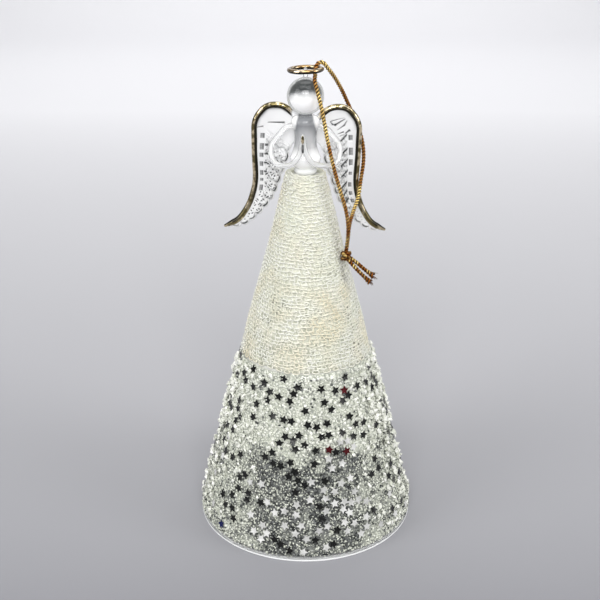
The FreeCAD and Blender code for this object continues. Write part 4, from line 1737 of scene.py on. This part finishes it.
    def ladder(self, way: Array, up: Array) -> Array:
        """How deep the cells along the rim are cut, and the slanted cuts beside them.

        Args:
            way: way from the rim.
            up: height above the root.

        Returns:
            Depth of the cuts, between 0 and 1.
        """
        depth = 0.0 * way * up
        lines = 0.5 + 0.5 * np.sin(TAU * up / 0.55)
        for count, (level, half) in enumerate(self.side.value.rungs):
            tall = self.between(up, level - half, level + half)
            depth = depth + tall * (0.5 + 0.25 * lines) * self.between(way, *self.cells)
            depth = depth + 0.85 * tall * self.between(way, *self.deep_side)
            if self.side is Side.RIGHT and 0 < count < 5:
                wedge = self.between(up, level + 0.1 * half, level + half * 0.95)
                depth = depth + 0.8 * wedge * self.between(way, *self.wedges)
            if self.side is Side.LEFT:
                falling = np.abs(up - level - 1.0 + 0.95 * (way - 3.9)) * 0.72
                depth = depth + 1.1 * ridge(falling, 0.32) * self.between(way, *self.falling)
                climbing = np.abs(up - level - 1.1 + 0.2 * (way - 4.0))
                depth = depth + 0.4 * ridge(climbing, 0.2) * self.between(way, *self.climbing)
        return np.clip(depth, 0, 1)

    @staticmethod
    def stroke(out: Array, up: Array, start: Pair, end: Pair, half: float) -> Array:
        """One straight cut that runs out at its start.

        Args:
            out: way out from the root of each point.
            up: height above the root.
            start: out and up of its thin end.
            end: out and up of its thick end.
            half: half its width at the thick end.

        Returns:
            Its depth at each point, between 0 and 1.
        """
        run = np.array(end) - np.array(start)
        length = np.hypot(*run)
        along = ((out - start[0]) * run[0] + (up - start[1]) * run[1]) / length ** 2
        beside = ((out - start[0]) * run[1] - (up - start[1]) * run[0]) / length
        width = half * (0.35 + 0.65 * np.clip(along, 0, 1))
        return ridge(beside, width) * np.clip(7 - 12 * np.abs(along - 0.5), 0, 1)

    def place(self, flat: Array, depth: Array) -> Array:
        """Points of the leaf's own plane, where they belong on the angel.

        Args:
            flat: out and up, in millimetres.
            depth: how far behind the plane.

        Returns:
            Points in metres.
        """
        wing = self.side.value
        points = np.stack([flat[..., 0], depth, flat[..., 1]], -1)
        for angle, axis in ((-wing.roll, "Y"), (self.lean, "X"), (self.sweep, "Z")):
            points = points @ np.array(Matrix.Rotation(math.radians(angle), 3, axis)).T
        points = points + np.array(self.root) + np.array([wing.out, 0.0, wing.up])
        return points * np.array([wing.sign, 1, 1]) * MM

    def build(self, glass: Material) -> None:
        """Builds and dresses the leaf.

        Args:
            glass: its finish.
        """
        line, outer, inner = self.outline()
        share = np.linspace(0, 1, self.columns)[None, :]
        length = np.linalg.norm(outer - inner, axis=1)[:, None]
        flat = outer[:, None] + (inner - outer)[:, None] * share[..., None]
        out, up = flat[..., 0], flat[..., 1]
        at = LeafPoints(line[:, None], share * length, (1 - share) * length, out, up)
        rounded = np.sqrt(np.clip(1 - (1 - rising(at.edge, 0.0, self.rounding)) ** 2, 0.0, 1))
        relief, dark = self.pattern(at)
        front = (self.half_thickness + relief) * rounded
        back = (self.half_thickness + 0.05 * np.sin(2.1 * out + 1.3 * up)) * rounded
        ring = np.concatenate([self.place(flat, -front), self.place(flat, back)[:, ::-1]], 1)
        # The mesh's groove number is the painted shade.
        tones = np.concatenate([dark, dark[:, ::-1]], 1).reshape(-1)
        faces = grid_faces(self.rows, 2 * self.columns, False)[:, :: -self.side.value.sign]
        name = self.side.value.name
        leaf = Soup(ring.reshape(-1, 3), faces, tones).piece("pressed_leaf_" + name, "groove")
        dress(leaf, glass, ANGEL, "clear_glass", "wing_leaf_" + name)


# ---- hanging cord ----------------------------------------------------------------------
@dataclass
class HangingCord:
    """Twisted gold cord: a loop over the halo, its knot and two frayed tails."""

    seed: int = 5
    diameter: float = 1.2 * MM
    plies: int = 2
    ply_pitch: float = 2.0 * MM
    ply_radius: float = 0.36 * MM
    ply_offset: float = 0.33 * MM
    sides: int = 10
    length: float = 133.5 * MM
    # Points on each span of the loop's route and of a tail's.
    loop_steps: int = 36
    tail_steps: int = 30
    knot_centre: Point = (13.0, -7.5, 96.5)
    knot_radius: float = 1.35 * MM
    knot_points: int = 48
    # Lean in degrees, shift in millimetres, and size of each turn of the knot.
    knot_turns: Tuple[Point, ...] = (
        (35.0, 0.0, 1.0), (-40.0, 0.0, 1.05), (5.0, 0.75, 0.8), (80.0, -0.5, 0.75),
    )
    # How far back from a cut end the plies spread, and how much.
    fray: float = 2.5 * MM
    spread: float = 1.1
    filaments: int = 16
    filament_radius: float = 0.11 * MM
    filament_sides: int = 5
    filament_lengths: Pair = (1.1 * MM, 2.1 * MM)
    route: Tuple[Point, ...] = (
        (13.0, -8.1, 97.6), (13.8, -8.1, 104.0), (13.1, -7.7, 111.0), (10.6, -7.1, 118.8),
        (8.5, -6.9, 126.2), (6.6, -6.7, 134.6), (5.3, -6.4, 142.0), (3.8, -6.1, 148.2),
        (2.7, -4.2, 151.8), (3.1, -1.3, 153.6), (3.3, -0.2, 156.2), (5.3, 0.1, 156.9),
        (6.8, 0.8, 154.8), (8.9, 2.9, 151.9), (11.4, 5.7, 147.4), (13.5, 7.7, 142.6),
        (16.8, 8.7, 135.9), (18.7, 8.0, 129.6), (19.0, 6.9, 124.0), (18.0, 5.0, 118.4),
        (17.3, 2.7, 113.0), (15.1, -1.9, 108.8), (13.9, -5.9, 105.6), (13.6, -6.6, 101.4),
        (13.0, -6.8, 97.6),
    )
    tails: Tuple[Tuple[Point, ...], ...] = (
        ((13.6, -7.5, 96.4), (16.2, -8.2, 94.7), (19.0, -8.8, 92.2), (21.8, -9.2, 90.2)),
        ((13.5, -8.2, 95.6), (15.6, -9.2, 93.4), (18.0, -9.9, 91.0), (20.7, -10.1, 88.4)),
    )

    @staticmethod
    def smooth_line(points: Iterable[Point], steps: int) -> Array:
        """Points along the smooth line of a route.

        Args:
            points: the route, in millimetres.
            steps: points on each of its spans.

        Returns:
            Array of points, in metres.
        """
        curve = bpy.data.curves.new("route", "CURVE")
        curve.dimensions = "3D"
        spline = curve.splines.new("NURBS")
        route = [(x * MM, y * MM, z * MM, 1.0) for x, y, z in points]
        spline.points.add(len(route) - 1)
        for place, point in zip(spline.points, route):
            place.co = point
        spline.order_u = 3
        spline.use_endpoint_u = True
        spline.resolution_u = steps
        holder = bpy.data.objects.new("route", curve)
        mesh = bpy.data.meshes.new_from_object(holder)
        line = np.array([vertex.co[:] for vertex in mesh.vertices])
        bpy.data.objects.remove(holder)
        bpy.data.curves.remove(curve)
        bpy.data.meshes.remove(mesh)
        return line

    def strand(self, soup: Soup, path: Array, closed: bool = False, fray: float = 0.0) -> None:
        """Adds the twisted plies that follow a line.

        Args:
            soup: where they go.
            path: points of the line.
            closed: the line joins up.
            fray: length at the end over which the plies spread.
        """
        first, second = carried_normals(path, closed)
        way = arc_lengths(path)
        total = way[-1]
        turns = max(1, round(total / self.ply_pitch)) if closed else total / self.ply_pitch
        spread = 1.0 + self.spread * rising(way, total - fray, fray) if fray else np.ones_like(way)
        # The crest number sets the painted shade: low where a ply turns towards the cord's middle.
        crest = np.clip(0.05 + 1.1 * np.cos(circle(self.sides)), 0, 1)
        for ply in range(self.plies):
            out = turned(first, second, TAU * (turns * way / total + ply / self.plies))
            centre = path + self.ply_offset * spread[:, None] * out
            side = unit(np.cross(directions(centre, closed), out))
            points = tube(centre, out, side, self.ply_radius, self.sides)
            faces = turned_over(grid_faces(len(path), self.sides, closed))
            soup.add(points, faces, np.tile(crest, len(path)))
            if not closed:
                soup.close(len(path), self.sides)

    def knot_path(self, lean: float, shift: float, radius: float) -> Array:
        """One turn of the knot.

        Args:
            lean: lean of its plane, in degrees.
            shift: how far it sits along its own axis.
            radius: radius of the turn.

        Returns:
            Points of the turn.
        """
        axis = np.array([math.sin(math.radians(lean)), 0.25, math.cos(math.radians(lean))])
        axis /= np.linalg.norm(axis)
        first = unit(np.cross(axis, (0.0, 1.0, 0.0)))
        second = np.cross(axis, first)
        t = circle(self.knot_points)
        wobble = 1.0 + 0.08 * np.sin(2 * t)
        turn = radius * wobble[:, None] * turned(first, second, t)
        return np.array(self.knot_centre) * MM + axis * shift + turn

    def frayed_end(self, soup: Soup, path: Array, rng: Random) -> None:
        """Adds the loose filaments at a cut end.

        Args:
            soup: where they go.
            path: line of the tail.
            rng: source of unevenness.
        """
        along = unit(path[-1] - path[-4])
        for _ in range(self.filaments):
            fan = rng.normal(0, 0.3, 3)
            start = path[-1] - along * 0.8 * MM + fan * 0.9 * MM
            way = unit(along + 0.55 * fan)
            length = rng.uniform(*self.filament_lengths)
            t = np.linspace(0, 1, 6)[:, None]
            bend = rng.normal(0, 0.16 * MM, 3)
            self.filament(soup, start + way * length * t + bend * t ** 2)

    def filament(self, soup: Soup, line: Array) -> None:
        """Adds one thin tapered thread with closed ends.

        Args:
            soup: where it goes.
            line: points of its middle.
        """
        taper = self.filament_radius * np.linspace(1.0, 0.45, len(line))[:, None, None]
        points = tube(line, *carried_normals(line), taper, self.filament_sides)
        faces = turned_over(grid_faces(len(line), self.filament_sides, False))
        soup.add(points, faces, np.full(len(points), 0.6))
        soup.close(len(line), self.filament_sides)

    @staticmethod
    def piece(soup: Soup, name: str, gold: Material, *nodes: str) -> Object:
        """Makes and dresses one piece of the cord, which replaces some nodes."""
        return dress(soup.piece(name, "crest"), gold, HANGING_LOOP, "gold_cord", *nodes)

    def build(self) -> None:
        """Builds and dresses the cord."""
        gold = GoldThread().material()
        line = self.smooth_line(self.route, self.loop_steps)
        loop = Soup()
        self.strand(loop, line)
        loop_piece = self.piece(loop, "cord_strands", gold, "hanging_cord")

        knot = Soup()
        for lean, shift, size in self.knot_turns:
            self.strand(knot, self.knot_path(lean, shift * MM, size * self.knot_radius), closed=True)
        knot_piece = self.piece(knot, "knot_turns", gold, "cord_knot")

        tails = Soup()
        rng = np.random.default_rng(self.seed)
        for route in self.tails:
            tail = self.smooth_line(route, self.tail_steps)
            self.strand(tails, tail, fray=self.fray)
            self.frayed_end(tails, tail, rng)
        tail_piece = self.piece(tails, "frayed_tails", gold, "cord_tail_upper", "cord_tail_lower")


# ---- studio ----------------------------------------------------------------------------
@dataclass
class Lamp:
    """One soft box."""

    name: str
    place: Point
    target: Point
    size: Pair
    watts: float

    def build(self) -> None:
        """Puts the lamp in the scene, facing its target."""
        light = bpy.data.lights.new(self.name, "AREA")
        light.shape = "RECTANGLE"
        light.size, light.size_y = self.size
        light.energy = self.watts
        lamp = bpy.data.objects.new(self.name, light)
        lamp.location = self.place
        aim = Vector(self.target) - Vector(self.place)
        lamp.rotation_euler = aim.to_track_quat("-Z", "Y").to_euler()
        bpy.context.scene.collection.objects.link(lamp)


@dataclass
class Studio:
    """Pale sweep, soft boxes and camera."""

    ambient: Colour = (0.1, 0.1, 0.11, 1.0)
    lamps: Tuple[Lamp, ...] = (
        Lamp("top_box", (0.0, -0.1, 0.9), (0.0, 0.0, 0.05), (0.9, 0.7), 3.6),
        Lamp("front_box", (0.0, -1.0, 0.75), (0.0, 0.0, 0.07), (0.8, 0.5), 9.0),
        Lamp("left_box", (-0.8, -0.45, 0.45), (0.0, 0.0, 0.07), (0.5, 0.8), 3.9),
        Lamp("right_box", (0.8, -0.3, 0.4), (0.0, 0.0, 0.07), (0.4, 0.8), 3.3),
        Lamp("back_box", (0.0, 0.8, 0.85), (0.0, 0.95, 0.0), (1.6, 0.5), 4.3),
        Lamp("backdrop_box", (0.0, 1.1, 1.0), (0.0, 1.8, 0.3), (1.6, 0.4), 5.5),
    )
    # Paper: half its width, front and back end of the floor, radius of the bend and height.
    half_width: float = 1.8
    floor: Pair = (-0.9, 1.3)
    bend: float = 0.5
    height: float = 1.6
    # Camera: place, degrees that it looks down, lens and sensor in millimetres, and shift.
    camera_place: Point = (0.0, -0.312, 0.2023)
    looks_down: float = 21.7
    lens: float = 60.0
    sensor: float = 36.0
    shift: float = -0.0092

    def sweep(self) -> None:
        """Floor that curves up into the backdrop."""
        front, back = self.floor
        turn = np.linspace(0.0, math.pi / 2, 13)
        curve = np.stack([back + self.bend * np.sin(turn), self.bend * (1.0 - np.cos(turn))], -1)
        profile = [(front, 0.0), *curve, (back + self.bend, self.height)]
        points = np.array([(x, y, z) for x in (-self.half_width, self.half_width) for y, z in profile])
        sweep = Soup(points, grid_faces(2, len(profile), False)[:-1]).piece("paper_sweep")
        sweep.data.materials.append(StudioPaper().material())

    def camera(self) -> None:
        """Camera in front of the angel, looking down on it."""
        optics = bpy.data.cameras.new("camera")
        optics.lens = self.lens
        optics.sensor_width = self.sensor
        optics.shift_x = self.shift
        camera = bpy.data.objects.new("camera", optics)
        camera.location = self.camera_place
        camera.rotation_euler = (math.radians(90.0 - self.looks_down), 0.0, 0.0)
        bpy.context.scene.collection.objects.link(camera)
        bpy.context.scene.camera = camera

    def build(self) -> None:
        """Sets the stage."""
        world = bpy.data.worlds.new("studio")
        world.use_nodes = True
        world.node_tree.nodes["Background"].inputs[0].default_value = self.ambient
        bpy.context.scene.world = world
        bpy.context.scene.view_settings.view_transform = "Standard"
        self.sweep()
        for lamp in self.lamps:
            lamp.build()
        self.camera()


def main() -> None:
    """Builds every sub-assembly in order."""
    logging.basicConfig(level=logging.INFO, format="%(name)s: %(message)s")
    Studio().build()
    HangingCord().build()
    form = SkirtForm.from_frame()
    LaceSleeve(form).build()
    coat = GlitterCoat(form)
    coat.build()
    stars = StarSequins(coat)
    stars.build()
    GlassCrumbs(coat, stars.taken).build()
    GlassFigure().build()
    leaf_glass = PressedGlass().material()
    for side in Side:
        WingLeaf(side).build(leaf_glass)


if __name__ == "__main__":
    main()
